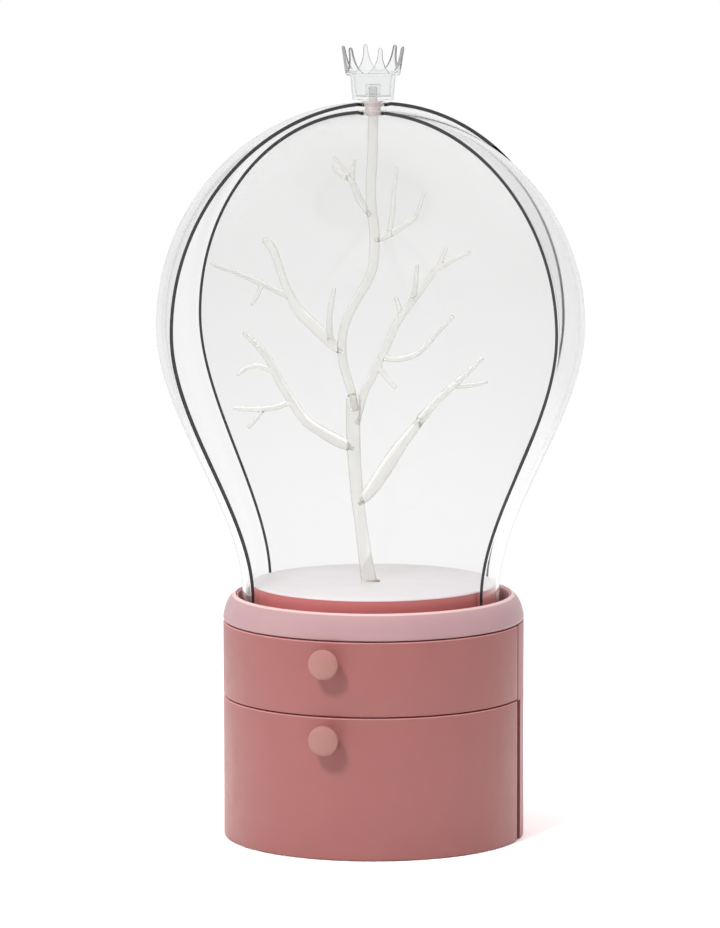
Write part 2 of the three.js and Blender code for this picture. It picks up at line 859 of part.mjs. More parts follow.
function lowerTrunk() {
  const foot = disc(footPlugRadius, -footPlugLength, footPlugStandout, smallFacets);
  const belowPlatform = disc(standReach, -standHeight, fitGap, screwFacets);
  const trunk = limb(lowerTrunkShares, trunkFacets).subtract(belowPlatform).add(foot);
  const upperSocket = plug(
    upperTrunkShares,
    trunkPlugRadius + boreGap,
    trunkPlugLength + standGirth,
    trunkPlugLength + fitGap,
  );
  const sockets = lowerTrunkBranches.map((name) => branchSocket(branchShares[name][0]));
  return piece('lower_trunk', cut(trunk, [upperSocket, ...sockets]), standMaterial);
}

function upperTrunk() {
  const peg = plug(upperTrunkShares, trunkPlugRadius, trunkPlugLength, trunkPlugLength);
  const pinTop = postBoreTop - fitGap - platformTop;
  const pin = disc(tipPinRadius, standHeight - standGirth, pinTop, smallFacets);
  const aboveShoulder = disc(standReach, standHeight, 2 * standHeight, screwFacets);
  const sockets = Object.keys(branchShares)
    .filter((name) => !lowerTrunkBranches.includes(name))
    .map((name) => branchSocket(branchShares[name][0]));
  const trunk = limb(upperTrunkShares, trunkFacets)
    .subtract(aboveShoulder)
    .subtract(limb(lowerTrunkShares, trunkFacets, fitGap))
    .add(pin)
    .add(peg);
  return piece('upper_trunk', cut(trunk, sockets), standMaterial);
}

function branches() {
  return Object.entries(branchShares).map(([name, limbs]) => {
    const root = limbs[0];
    const whole = join(limbs.map((rowsOfShares) => limb(rowsOfShares, branchFacets)));
    const trunks = [lowerTrunkShares, upperTrunkShares];
    const clear = cut(whole, trunks.map((shares) => limb(shares, trunkFacets, fitGap)));
    const peg = plug(root, branchPlugRadius, branchPlugLength, 0);
    return piece(name, clear.add(peg), standMaterial);
  });
}

// Dome bushing, between the stand's shoulder and the crown

function bushing() {
  const flangeBottom = bushingTop - bushingFlangeHeight;
  const outline = [
    [tipPinRadius + boreGap, bushingBottom],
    [bushingNeckRadius, bushingBottom],
    [bushingNeckRadius, bushingBottom + bushingNeckLength],
    [bushingTopRadius, flangeBottom],
    [bushingTopRadius, bushingTop],
    [tipPinRadius + boreGap, bushingTop],
  ];
  return piece('dome_bushing', turned(outline, smallFacets), bushingMaterial);
}

// Crown: a cup on a hollow post, under a flared ring of prongs

function crown() {
  const floorTop = crownBottom + cupFloor;
  const cupTop = crownBottom + cupHeight;
  const crownTop = crownBottom + crownHeight;
  const outline = [
    [0, postBoreTop],
    [tipPinRadius + boreGap, postBoreTop],
    [tipPinRadius + boreGap, crownBottom],
    [cupFootRadius, crownBottom],
    [cupTopRadius, cupTop],
    [crownFootRadius, cupTop],
    [crownTipRadius, crownTop],
    [crownTipRadius - crownWall, crownTop],
    [crownFootRadius - crownWall, cupTop + crownWall],
    [cupTopRadius - cupWall, cupTop + crownWall],
    [cupFootRadius - cupWall, floorTop],
    [postRadius, floorTop],
    [postRadius, postTop],
    [0, postTop],
  ];
  const pitch = 360 / prongCount;
  const valleyChord = 2 * crownTipRadius * Math.sin(THREE.MathUtils.degToRad(pitch / 2));
  const halfWidth = (valleyChord - prongTipWidth) / 2;
  const depth = crownTop - cupTop - valleyRise;
  const valleys = [];
  for (let count = 0; count < prongCount; count += 1) {
    const cutter = new THREE.CylinderGeometry(1, 1, crownTipRadius, smallFacets);
    cutter.scale(halfWidth, 1, depth);
    cutter.translate(0, -crownTipRadius, crownTop);
    cutter.rotateZ(THREE.MathUtils.degToRad(prongBearing + (count + 1 / 2) * pitch));
    valleys.push(toSolid(cutter));
  }
  return piece('crown', cut(turned(outline, crownFacets), valleys), crownMaterial);
}

// Dome shells

function domeSurface(radius, apex, neckRadius, holeRadius) {
  const rise = apex - equatorZ;
  const neckTop = grooveFloor + collarHeight;
  const flank = new THREE.CubicBezierCurve(
    new THREE.Vector2(neckRadius, neckTop),
    new THREE.Vector2(neckRadius + neckFlare, neckTop + neckHandle),
    new THREE.Vector2(radius, equatorZ - bulgeHandle),
    new THREE.Vector2(radius, equatorZ),
  );
  const lastAngle = Math.acos(holeRadius / radius);
  return [
    [neckRadius, grooveFloor + shellLift],
    ...bezierPoints(flank, 6),
    ...arcPoints(0, equatorZ, radius, rise, 0, lastAngle, 8).slice(1),
  ];
}

function domeShell(name, radius, apex, neckRadius, holeRadius, eyeRadius, bearing) {
  const outside = domeSurface(radius, apex, neckRadius, holeRadius);
  const inside = domeSurface(radius - domeWall, apex - domeWall, neckRadius - domeWall, holeRadius);
  const shell = turned([...outside, ...inside.reverse()], roundFacets);
  const half = halfSpace(bearing, 0, radius + overrun, 0, apex + overrun);
  const eye = disc(eyeRadius, equatorZ, apex + overrun, smallFacets);
  const solid = shell.intersect(half).add(shell.intersect(eye));
  return piece(name, solid, domeMaterial);
}

function domeShells() {
  return [
    domeShell(
      'outer_dome_shell',
      domeRadius,
      apexZ,
      outerNeckRadius,
      outerHoleRadius,
      outerEyeRadius,
      outerShellBearing,
    ),
    domeShell(
      'inner_dome_shell',
      innerDomeRadius,
      innerApexZ,
      innerNeckRadius,
      innerHoleRadius,
      innerEyeRadius,
      innerShellBearing,
    ),
  ];
}

// Drawers: a round tray with a half-round front, on skids that straddle the rails

function drawer(name, deckTop, frontBottom, frontTop, ceiling) {
  const skidBottom = deckTop + fitGap;
  const floorBottom = skidBottom + skidHeight;
  const floorTop = floorBottom + trayFloor;
  const wallTop = ceiling - trayHeadroom;
  const inner = housingInside;
  const flangeBack = frontEndGap + trayWall;
  const frontHalf = (setback) =>
    halfSpace(frontBearing, setback, drumRadius + overrun, 0, drumTop + overrun);
  const frontOutline = [
    [inner, frontBottom],
    [drumRadius - edgeBevel, frontBottom],
    [drumRadius, frontBottom + edgeBevel],
    [drumRadius, frontTop - edgeBevel],
    [drumRadius - edgeBevel, frontTop],
    [inner, frontTop],
  ];
  const front = turned(frontOutline, roundFacets).intersect(frontHalf(frontEndGap));
  const bowlFront = disc(inner + housingWall / 2, floorBottom, wallTop);
  const bowlRear = disc(trayRadius, floorBottom, wallTop);
  const bowl = bowlFront.intersect(frontHalf(frontEndGap)).add(bowlRear);
  const hollowFront = disc(inner, floorTop, wallTop + overrun).intersect(frontHalf(flangeBack));
  const hollow = hollowFront.add(disc(trayRadius - trayWall, floorTop, wallTop + overrun));
  const skids = [-1, 1].flatMap((side) => [-1, 1].map((flank) => {
    const middle = side * railOffset + flank * (railWidth / 2 + railSideGap + skidWidth / 2);
    const low = [middle - skidWidth / 2, -railFrontReach, skidBottom];
    const high = [middle + skidWidth / 2, railRearReach, floorBottom + trayFloor / 2];
    return block(low, high);
  }));
  const catchFront = trayRadius - catchInset;
  const catchLow = [-stopWidth / 2, catchFront, skidBottom + fitGap];
  const catchHigh = [stopWidth / 2, catchFront + stopLength, floorBottom + trayFloor / 2];
  const hole = new THREE.CylinderGeometry(pilotRadius, pilotRadius, drumRadius, screwFacets);
  hole.translate(0, -drumRadius, frontTop - knobDrop);
  const solid = front
    .add(bowl.subtract(hollow))
    .add(join(skids))
    .add(block(catchLow, catchHigh))
    .subtract(toSolid(hole));
  return piece(name, solid, drumMaterial);
}

function knob(name, frontTop) {
  const ballMiddle = knobDepth - knobCrownDepth;
  const outline = [
    [0, knobScrewReach],
    [pilotRadius, knobScrewReach],
    [pilotRadius, 0],
    [knobNeckRadius, 0],
    [knobNeckRadius, knobNeckLength],
    ...arcPoints(0, ballMiddle, knobRadius, ballMiddle - knobNeckLength, -Math.PI / 4, 0, 4),
    ...arcPoints(0, ballMiddle, knobRadius, knobCrownDepth, 0, Math.PI / 2, 5).slice(1),
  ];
  const mesh = piece(name, turned(outline, smallFacets), knobMaterial);
  mesh.position.set(0, -drumRadius - fitGap, frontTop - knobDrop);
  mesh.rotation.x = Math.PI / 2;
  return mesh;
}

function knobScrew(name, frontTop) {
  const mesh = piece(name, screw(housingWall + knobScrewReach), steelMaterial);
  const seat = housingInside - fitGap - screwHeadHeight;
  mesh.position.set(0, -seat, frontTop - knobDrop);
  mesh.rotation.x = Math.PI / 2;
  return mesh;
}

function drawerGroup(prefix, deckTop, frontBottom, frontTop, ceiling) {
  const group = new THREE.Group();
  group.add(
    drawer(`${prefix}_drawer`, deckTop, frontBottom, frontTop, ceiling),
    knob(`${prefix}_knob`, frontTop),
    knobScrew(`${prefix}_knob_screw`, frontTop),
  );
  return group;
}

// The whole box

function base() {
  const group = new THREE.Group();
  group.add(basePad(), basePlate(), rearHousing(), topCover(), bearingRing());
  group.add(...baseScrews(), ...coverScrews());
  return group;
}

function stand() {
  const group = new THREE.Group();
  group.add(lowerTrunk(), upperTrunk(), ...branches());
  group.position.z = platformTop;
  group.rotation.z = THREE.MathUtils.degToRad(standBearing);
  return group;
}

function turntable() {
  const group = new THREE.Group();
  group.add(platform(), spindleWasher(), spindleScrew(), stand(), bushing(), crown());
  return group;
}

const jewelryBox = new THREE.Group();
jewelryBox.add(
  base(),
  turntable(),
  ...domeShells(),
  drawerGroup(
    'lower',
    plateTop,
    plateBottom,
    lowerFrontHeight - seamGap / 2,
    shelfTop - shelfThickness,
  ),
  drawerGroup(
    'upper',
    shelfTop,
    lowerFrontHeight + seamGap / 2,
    drumTop - seamGap / 2,
    drumTop - deckThickness,
  ),
);

export default jewelryBox;
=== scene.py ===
# Rotating jewelry box: smooth finished pieces and their materials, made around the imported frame.
# Metres, Z up, in the frame's own place. The floor is Z = 0 and the drawers open towards -Y.
# A bearing is an angle in degrees about Z, from -Y towards +X.
import math

import bmesh
import bpy
from bpy.props import FloatProperty, FloatVectorProperty, IntProperty, PointerProperty
from bpy.types import Operator, Panel, PropertyGroup
from mathutils import Matrix, Vector


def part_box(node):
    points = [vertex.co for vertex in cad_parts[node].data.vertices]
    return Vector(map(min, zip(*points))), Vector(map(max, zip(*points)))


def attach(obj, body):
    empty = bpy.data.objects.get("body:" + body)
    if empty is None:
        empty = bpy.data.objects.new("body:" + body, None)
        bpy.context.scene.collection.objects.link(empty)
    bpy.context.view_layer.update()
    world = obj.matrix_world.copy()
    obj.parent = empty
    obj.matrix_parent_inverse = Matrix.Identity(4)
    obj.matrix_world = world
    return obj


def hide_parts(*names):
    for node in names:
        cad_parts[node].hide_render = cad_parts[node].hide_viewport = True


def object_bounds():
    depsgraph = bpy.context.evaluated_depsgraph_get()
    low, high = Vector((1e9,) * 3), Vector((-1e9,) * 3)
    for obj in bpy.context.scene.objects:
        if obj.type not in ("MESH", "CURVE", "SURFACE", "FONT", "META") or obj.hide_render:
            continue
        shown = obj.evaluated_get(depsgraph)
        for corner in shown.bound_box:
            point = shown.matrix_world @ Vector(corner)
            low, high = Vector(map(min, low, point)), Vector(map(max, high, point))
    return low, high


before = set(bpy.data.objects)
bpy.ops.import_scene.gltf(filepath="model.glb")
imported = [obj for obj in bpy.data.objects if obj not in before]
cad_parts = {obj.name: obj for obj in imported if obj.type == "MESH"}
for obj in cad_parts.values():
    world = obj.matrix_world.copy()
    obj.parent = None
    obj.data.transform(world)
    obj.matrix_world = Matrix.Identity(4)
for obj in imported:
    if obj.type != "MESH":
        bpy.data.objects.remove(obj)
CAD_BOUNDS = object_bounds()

bl_info = {
    "name": "Rotating jewelry box",
    "version": (1, 0, 0),
    "blender": (4, 5, 0),
    "location": "3D View > Sidebar > Jewelry box",
    "description": "Makes the finished pieces of a rotating jewelry box around its frame",
    "category": "Object",
}

X, Y, Z = range(3)


def low(node, axis):
    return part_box(node)[0][axis]


def high(node, axis):
    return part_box(node)[1][axis]


# Sizes that the frame gives
DRUM_RADIUS = high("rear_housing", X)
DRUM_BOTTOM = low("rear_housing", Z)
DRUM_TOP = high("rear_housing", Z)
PLATE_RADIUS = high("base_plate", X)
LOWER_FRONT_TOP = high("lower_drawer", Z)
UPPER_FRONT_BOTTOM = low("upper_drawer", Z)
UPPER_FRONT_TOP = high("upper_drawer", Z)
COVER_BOTTOM = low("top_cover", Z)
COLLAR_TOP = high("top_cover", Z)
PLATFORM_RADIUS = high("turntable_platform", X)
PLATFORM_TOP = high("turntable_platform", Z)
SPINDLE_BOTTOM = low("turntable_platform", Z)
BUSHING_BOTTOM = low("dome_bushing", Z)
BUSHING_TOP = high("dome_bushing", Z)
BUSHING_RADIUS = high("dome_bushing", X)
CROWN_BOTTOM = low("crown", Z)
CROWN_TOP = high("crown", Z)
OUTER_APEX = high("outer_dome_shell", Z)
INNER_APEX = high("inner_dome_shell", Z)
SHELL_BOTTOM = low("outer_dome_shell", Z)
KNOB_RADIUS = high("lower_knob", X)
KNOB_DEPTH = high("lower_knob", Y) - low("lower_knob", Y)
PAD_RADIUS = high("base_pad", X)
PAD_TOP = high("base_pad", Z)

# Fits
FIT_GAP = 0.0003
BORE_GAP = 0.00025
OVERRUN = 0.001

# Drum, floor, shelf and deck
HOUSING_WALL = 0.003
WALL_NOTCH = 0.0045
FRONT_END_GAP = 0.0008
PLATE_THICKNESS = 0.004
SHELF_THICKNESS = 0.003
DECK_THICKNESS = 0.0035
DECK_HOLE_RADIUS = 0.011
HOUSING_INSIDE = DRUM_RADIUS - HOUSING_WALL
PLATE_TOP = DRUM_BOTTOM + PLATE_THICKNESS
SHELF_TOP = (LOWER_FRONT_TOP + UPPER_FRONT_BOTTOM) / 2
DECK_BOTTOM = DRUM_TOP - DECK_THICKNESS

# Trays, rails and stops
TRAY_RADIUS = 0.067
TRAY_WALL = 0.0022
TRAY_FLOOR = 0.002
TRAY_HEADROOM = 0.0012
SKID_HEIGHT = 0.002
SKID_WIDTH = 0.002
RAIL_HEIGHT = 0.0017
RAIL_WIDTH = 0.003
RAIL_SIDE_GAP = 0.0005
RAIL_OFFSET = 0.026
RAIL_FRONT_REACH = 0.06
RAIL_REAR_REACH = 0.05
STOP_SETBACK = 0.049
STOP_LENGTH = 0.003
STOP_WIDTH = 0.016
CATCH_FRONT = 0.0413

# Screws and their bosses
SCREW_HEAD_RADIUS = 0.00275
SCREW_HEAD_HEIGHT = 0.0016
SCREW_SHANK_RADIUS = 0.0014
THREAD_PITCH = 0.001
THREAD_DEPTH = 0.0003
THREAD_SHARPNESS = 3
THREAD_STEPS = 6
SCREW_SIDES = 24
SCREW_TIP_SHARE = 0.45
SCREW_ROOT_SHARE = 0.9
SCREW_HEAD_SEGMENTS = 48
SCREW_HEAD_DOME = SCREW_HEAD_HEIGHT * 0.7
SCREW_HEAD_EDGE = SCREW_HEAD_HEIGHT * 0.1
RECESS_WIDTH = 0.0006
RECESS_LENGTH = 0.003
RECESS_DEPTH = 0.0009
PILOT_RADIUS = SCREW_SHANK_RADIUS + BORE_GAP
BOSS_RADIUS = 0.004
BOSS_ROOF = 0.002
BASE_SCREWS = ("base_screw_1", "base_screw_2", "base_screw_3")
COVER_SCREWS = ("cover_screw_1", "cover_screw_2", "cover_screw_3")

# Knobs
KNOB_NECK_RADIUS = 0.0046
KNOB_NECK_LENGTH = 0.0034
KNOB_CROWN_DEPTH = 0.0034
KNOB_SCREW_REACH = 0.008

# Collar and cover
GROOVE_RADIUS = 0.072
COLLAR_BAND = 0.0022
COLLAR_LIP = 0.0015
# Height of the strip along the collar's inner lip that takes the painted highlight
LIP_HIGHLIGHT_HEIGHT = 0.0008
SHOULDER_INSET = 0.0017
SHOULDER_DROP = 0.0018
SHOULDER_STEPS = 16
COVER_FLOOR = 0.0027
GROOVE_FLOOR = COVER_BOTTOM + COVER_FLOOR
HUB_RADIUS = 0.009
HUB_HEIGHT = 0.008
HUB_TOP = GROOVE_FLOOR + HUB_HEIGHT
COVER_BOSS_HEIGHT = 0.0095

# Turntable
PLATFORM_THICKNESS = 0.003
PLATFORM_WALL = 0.0025
SKIRT_GAP = 0.0012
SPINDLE_RADIUS = 0.005
PLATFORM_HUB_GAP = 0.0016
PLATFORM_HUB_BOTTOM = HUB_TOP + PLATFORM_HUB_GAP
FOOT_PLUG_RADIUS = 0.0034
FOOT_PLUG_LENGTH = 0.0075
FOOT_PLUG_STANDOUT = 0.0006
SPINDLE_BORE_DEPTH = 0.0093
SPINDLE_BORE_TOP = SPINDLE_BOTTOM + SPINDLE_BORE_DEPTH

# Dome shells
DOME_RADIUS = 0.115
DOME_WALL = 0.0018
SHELL_GAP = 0.001
EQUATOR_HEIGHT = 0.137
EQUATOR = PLATFORM_TOP + EQUATOR_HEIGHT
BULGE_HANDLE = 0.047
NECK_HANDLE = 0.044
NECK_FLARE = 0.001
OUTER_NECK_RADIUS = 0.0699
INNER_NECK_RADIUS = OUTER_NECK_RADIUS - DOME_WALL - SHELL_GAP
NECK_TOP = GROOVE_FLOOR + COLLAR_TOP - DRUM_TOP
OUTER_HOLE_RADIUS = 0.0054
OUTER_EYE_RADIUS = 0.009
INNER_HOLE_RADIUS = 0.0045
INNER_EYE_RADIUS = 0.0075
OUTER_SHELL_BEARING = 220.5
INNER_SHELL_BEARING = 165

# Bushing and crown
TIP_PIN_RADIUS = 0.002
BUSHING_NECK_RADIUS = 0.004
BUSHING_NECK_LENGTH = 0.0032
BUSHING_FLANGE_HEIGHT = 0.0012
CUP_FOOT_RADIUS = 0.0108
CUP_TOP_RADIUS = 0.0121
CUP_HEIGHT = 0.013
CUP_WALL = 0.0016
CUP_FLOOR = 0.002
POST_RADIUS = 0.0039
POST_HEIGHT = 0.0062
POST_ROOF = 0.0012
CROWN_FOOT_RADIUS = 0.0143
CROWN_TIP_RADIUS = 0.0172
CROWN_WALL = 0.0015
PRONG_COUNT = 6
PRONG_TIP_RADIUS = 0.00095
VALLEY_RISE = 0.0018
PRONG_BEARING = 31
POST_BORE_TOP = CROWN_BOTTOM + CUP_FLOOR + POST_HEIGHT - POST_ROOF

# Stand. A row of shares is the place to the side and in depth, as shares of its reach, the
# height as a share of its height, and the limb's radius as a share of its girth.
STAND_BEARING = 17
STAND_REACH = 0.1
STAND_HEIGHT = BUSHING_BOTTOM - FIT_GAP - PLATFORM_TOP
STAND_GIRTH = 0.005
TRUNK_PLUG_RADIUS = 0.0017
TRUNK_PLUG_LENGTH = 0.005
BRANCH_PLUG_RADIUS = 0.0011
BRANCH_PLUG_LENGTH = 0.007

LOWER_TRUNK_SHARES = [
  (-0.024, -0.012, 0.001, 0.86), (-0.042, -0.01, 0.047, 0.74), (-0.056, -0.003, 0.089, 0.69),
  (-0.069, 0.006, 0.132, 0.66), (-0.084, 0.015, 0.175, 0.67), (-0.093, 0.025, 0.217, 0.69),
  (-0.1, 0.03, 0.256, 0.7), (-0.106, 0.03, 0.295, 0.76), (-0.107, 0.03, 0.351, 0.76),
  (-0.107, 0.03, 0.389, 0.74),
]

UPPER_TRUNK_SHARES = [
  (-0.108, 0.03, 0.387, 0.42), (-0.116, 0.03, 0.407, 0.46), (-0.134, 0.03, 0.432, 0.48),
  (-0.154, 0.025, 0.459, 0.48), (-0.164, 0.022, 0.483, 0.48), (-0.166, 0.02, 0.508, 0.48),
  (-0.16, 0.01, 0.536, 0.48), (-0.139, 0, 0.564, 0.48), (-0.108, -0.01, 0.591, 0.48),
  (-0.078, -0.013, 0.613, 0.48), (-0.03, -0.018, 0.646, 0.5), (-0.002, -0.02, 0.677, 0.52),
  (0.007, -0.02, 0.713, 0.55), (0.006, -0.015, 0.755, 0.55), (-0.007, -0.01, 0.797, 0.55),
  (-0.012, -0.005, 0.84, 0.55), (-0.008, 0, 0.882, 0.55), (-0.002, 0, 0.925, 0.55),
  (0, 0, 0.99, 0.55),
]

BRANCH_SHARES = {
  "lower_left_branch": [
    [
      (-0.108, 0.028, 0.286, 0.45), (-0.188, -0.005, 0.303, 0.66), (-0.275, -0.04, 0.325, 0.58),
      (-0.362, -0.07, 0.351, 0.52), (-0.43, -0.09, 0.393, 0.48), (-0.49, -0.11, 0.433, 0.44),
      (-0.545, -0.13, 0.479, 0.4), (-0.607, -0.16, 0.514, 0.34), (-0.675, -0.19, 0.541, 0.24),
    ],
    [
      (-0.43, -0.09, 0.393, 0.36), (-0.521, -0.05, 0.378, 0.34), (-0.622, -0.02, 0.372, 0.3),
      (-0.734, 0.02, 0.372, 0.24),
    ],
    [
      (-0.584, -0.035, 0.373, 0.26), (-0.621, -0.07, 0.354, 0.24), (-0.657, -0.11, 0.339, 0.2),
    ],
    [
      (-0.516, -0.12, 0.457, 0.34), (-0.609, -0.1, 0.469, 0.28), (-0.667, -0.08, 0.463, 0.24),
      (-0.715, -0.07, 0.45, 0.2),
    ],
  ],
  "upper_left_branch": [
    [
      (-0.166, 0.02, 0.493, 0.4), (-0.219, 0.04, 0.51, 0.56), (-0.306, 0.07, 0.543, 0.62),
      (-0.394, 0.1, 0.577, 0.56), (-0.437, 0.13, 0.606, 0.46), (-0.474, 0.16, 0.637, 0.42),
      (-0.501, 0.19, 0.67, 0.42), (-0.533, 0.21, 0.704, 0.44), (-0.57, 0.24, 0.722, 0.4),
    ],
    [
      (-0.439, 0.135, 0.607, 0.36), (-0.521, 0.12, 0.622, 0.34), (-0.629, 0.08, 0.644, 0.3),
      (-0.742, 0.04, 0.664, 0.26), (-0.852, 0.01, 0.681, 0.2),
    ],
    [
      (-0.219, 0.036, 0.509, 0.34), (-0.231, -0.02, 0.538, 0.34), (-0.228, -0.06, 0.582, 0.3),
      (-0.207, -0.09, 0.63, 0.24),
    ],
    [
      (-0.59, 0.1, 0.633, 0.26), (-0.616, 0.06, 0.611, 0.22), (-0.642, 0.03, 0.595, 0.18),
    ],
  ],
  "upper_right_branch": [
    [
      (-0.09, 0.042, 0.338, 0.38), (-0.047, 0.06, 0.405, 0.44), (-0.015, 0.062, 0.431, 0.46),
      (0.015, 0.068, 0.456, 0.46), (0.073, 0.085, 0.505, 0.44), (0.126, 0.1, 0.551, 0.42),
      (0.19, 0.12, 0.587, 0.38), (0.254, 0.14, 0.62, 0.34), (0.313, 0.16, 0.652, 0.3),
      (0.355, 0.17, 0.677, 0.26), (0.387, 0.18, 0.707, 0.2),
    ],
    [
      (0.323, 0.163, 0.66, 0.28), (0.392, 0.15, 0.677, 0.26), (0.45, 0.12, 0.691, 0.24),
      (0.508, 0.1, 0.702, 0.18),
    ],
    [
      (0.201, 0.122, 0.595, 0.32), (0.219, 0.08, 0.619, 0.3), (0.227, 0.05, 0.648, 0.26),
      (0.234, 0.03, 0.676, 0.2),
    ],
    [
      (0.041, 0.073, 0.479, 0.34), (0.136, 0.01, 0.478, 0.34), (0.242, -0.04, 0.495, 0.32),
      (0.337, -0.08, 0.538, 0.28), (0.416, -0.11, 0.573, 0.22),
    ],
    [
      (0.025, 0.068, 0.461, 0.32), (0.067, 0.03, 0.438, 0.28), (0.115, 0, 0.418, 0.22),
    ],
    [
      (0.148, 0.107, 0.563, 0.28), (0.137, 0.15, 0.584, 0.26), (0.121, 0.19, 0.601, 0.22),
    ],
  ],
  "lower_right_branch": [
    [
      (-0.079, 0.015, 0.168, 0.4), (-0.037, -0.01, 0.186, 0.62), (0.015, -0.03, 0.215, 0.74),
      (0.078, -0.06, 0.256, 0.78), (0.146, -0.1, 0.299, 0.64), (0.225, -0.13, 0.341, 0.5),
      (0.32, -0.16, 0.39, 0.42), (0.417, -0.18, 0.428, 0.36), (0.499, -0.2, 0.46, 0.3),
      (0.572, -0.22, 0.49, 0.22),
    ],
    [
      (0.415, -0.18, 0.427, 0.3), (0.505, -0.15, 0.429, 0.26), (0.595, -0.13, 0.435, 0.2),
    ],
    [
      (0.225, -0.13, 0.341, 0.34), (0.25, -0.06, 0.359, 0.3), (0.285, 0, 0.371, 0.24),
    ],
  ],
  "top_left_branch": [
    [
      (-0.012, -0.006, 0.786, 0.34), (-0.064, -0.02, 0.815, 0.38), (-0.093, -0.04, 0.841, 0.36),
      (-0.121, -0.05, 0.863, 0.32), (-0.169, -0.06, 0.874, 0.26), (-0.211, -0.06, 0.89, 0.2),
    ],
    [
      (-0.119, -0.045, 0.861, 0.28), (-0.143, -0.02, 0.879, 0.25), (-0.203, -0.01, 0.909, 0.19),
    ],
    [
      (-0.111, -0.043, 0.856, 0.28), (-0.108, -0.07, 0.88, 0.24), (-0.095, -0.09, 0.906, 0.18),
    ],
  ],
  "top_right_branch": [
    [
      (0.015, -0.015, 0.734, 0.34), (0.063, -0.03, 0.742, 0.38), (0.121, -0.05, 0.755, 0.34),
      (0.179, -0.06, 0.77, 0.28), (0.226, -0.07, 0.786, 0.24), (0.268, -0.07, 0.836, 0.18),
    ],
    [
      (0.084, -0.032, 0.745, 0.3), (0.103, 0.02, 0.792, 0.28), (0.111, 0.05, 0.838, 0.24),
      (0.127, 0.07, 0.884, 0.18),
    ],
  ],
}

LOWER_TRUNK_BRANCHES = ("lower_left_branch", "lower_right_branch", "upper_right_branch")


# Settings

def length_setting(name, description, default, smallest=0.0001):
    return FloatProperty(
        name=name, description=description, default=default, min=smallest, unit="LENGTH",
        precision=5)


def angle_setting(name, description, degrees):
    return FloatProperty(
        name=name, description=description, default=math.radians(degrees), subtype="ANGLE")


def colour_setting(name, description, default):
    return FloatVectorProperty(
        name=name, description=description, default=default, subtype="COLOR", min=0, max=1)


class JewelryBoxSizes(PropertyGroup):
    """Sizes that a user would change"""

    edge_round: length_setting("Edge rounding", "Radius of the drum's moulded edges", 0.0006)
    platform_edge: length_setting("Platform edge", "Radius of the platform's top edge", 0.001)
    tray_fillet: length_setting(
        "Tray fillet", "Radius between a tray's floor and its wall", 0.0015)
    shell_edge: length_setting(
        "Shell edge", "Rounding of a dome shell's cut edges", 0.0006, 0.00005)
    collar_edge: length_setting("Collar edge", "Radius of the collar's lower edge", 0.0011)
    front_edge: length_setting("Front edge", "Radius of a drawer front's edges", 0.0009)
    skin_step: length_setting(
        "Skin step", "Length of a face on the stand's moulded skin", 0.00045, 0.0003)
    turn_segments: IntProperty(
        name="Segments", description="Faces round a large turned piece", default=192, min=24)
    small_segments: IntProperty(
        name="Small segments", description="Faces round a small turned piece", default=64, min=12)


class JewelryBoxColours(PropertyGroup):
    """Colours of the mouldings, as scene-linear values; some are painted highlights and shade"""

    drum: colour_setting("Drum", "Drum, shelf and trays", (0.41, 0.145, 0.135))
    # Painted highlight: a lighter copy of the drum's colour on the drawer fronts' rounded top
    # edges
    drum_band: colour_setting(
        "Drum bands", "Rounded top edges of the drawer fronts", (0.72, 0.31, 0.3))
    skirt: colour_setting("Skirt", "Side of the turntable", (0.62, 0.18, 0.176))
    # Painted highlight: a pale colour along the inner edge of the collar's top
    lip: colour_setting("Collar lip", "Inner edge of the collar's top", (0.86, 0.6, 0.57))
    collar: colour_setting("Collar", "Collar on top of the drum", (0.55, 0.33, 0.35))
    # Painted highlight: the turntable's top in a pale copy of its pink, for light and reflection
    # on it
    platform: colour_setting("Platform", "Top of the turntable", (0.82, 0.775, 0.785))
    knob: colour_setting("Knobs", "Drawer knobs", (0.47, 0.22, 0.19))
    bushing: colour_setting("Bushing", "Bushing under the crown", (0.72, 0.61, 0.6))
    dome: colour_setting("Dome", "Tint of the clear shells near the top", (0.9, 0.9, 0.898))
    dome_low: colour_setting(
        "Dome below", "Tint of the clear shells near the drum", (0.96, 0.96, 0.96))
    # Painted shade: the shells' cut edges in near black, though the shells are clear
    dome_edge: colour_setting("Dome edge", "Flat of the shells' cut edges", (0.03, 0.03, 0.032))
    stand: colour_setting("Stand", "Milky clear stand", (0.88, 0.874, 0.842))
    # Painted shade: the stand's dark tint where the eye grazes it
    stand_grazing_shade: colour_setting(
        "Stand's sides", "Stand where the eye grazes it", (0.3, 0.3, 0.285))
    crown: colour_setting("Crown", "Clear crown", (0.91, 0.915, 0.915))
    # Painted shade: grey on the crests of the clear crown's prongs
    crown_edge: colour_setting("Crown's edge", "Crest of the crown's prongs", (0.36, 0.36, 0.355))
    # Painted shade: the crown's dark tint where the eye grazes it
    crown_grazing_shade: colour_setting(
        "Crown's sides", "Crown where the eye grazes it", (0.25, 0.25, 0.26))


class JewelryBoxStage(PropertyGroup):
    """Camera and light"""

    azimuth: angle_setting("Azimuth", "Camera bearing from the drawers' side", 17)
    distance: length_setting("Distance", "Camera to the drum's axis, along the floor", 3.1463)
    height: length_setting("Height", "Camera above the floor", 0.6144)
    pitch: angle_setting("Pitch", "Camera's tilt below the horizon", 7.522)
    turn: angle_setting("Turn", "Camera's turn away from the axis", 0.1293)
    roll: angle_setting("Roll", "Camera's roll", -0.081)
    lens: FloatProperty(
        name="Lens", description="Focal length in millimetres", default=231.87)
    ambient: FloatProperty(
        name="Ambient", description="Strength of the light from all round", default=0.33)
    lamp_strength: FloatProperty(
        name="Lamps", description="Scale of all lamps", default=1.0)


def sizes():
    return bpy.context.scene.jewelry_box_sizes


def colours():
    return bpy.context.scene.jewelry_box_colours


# Node trees

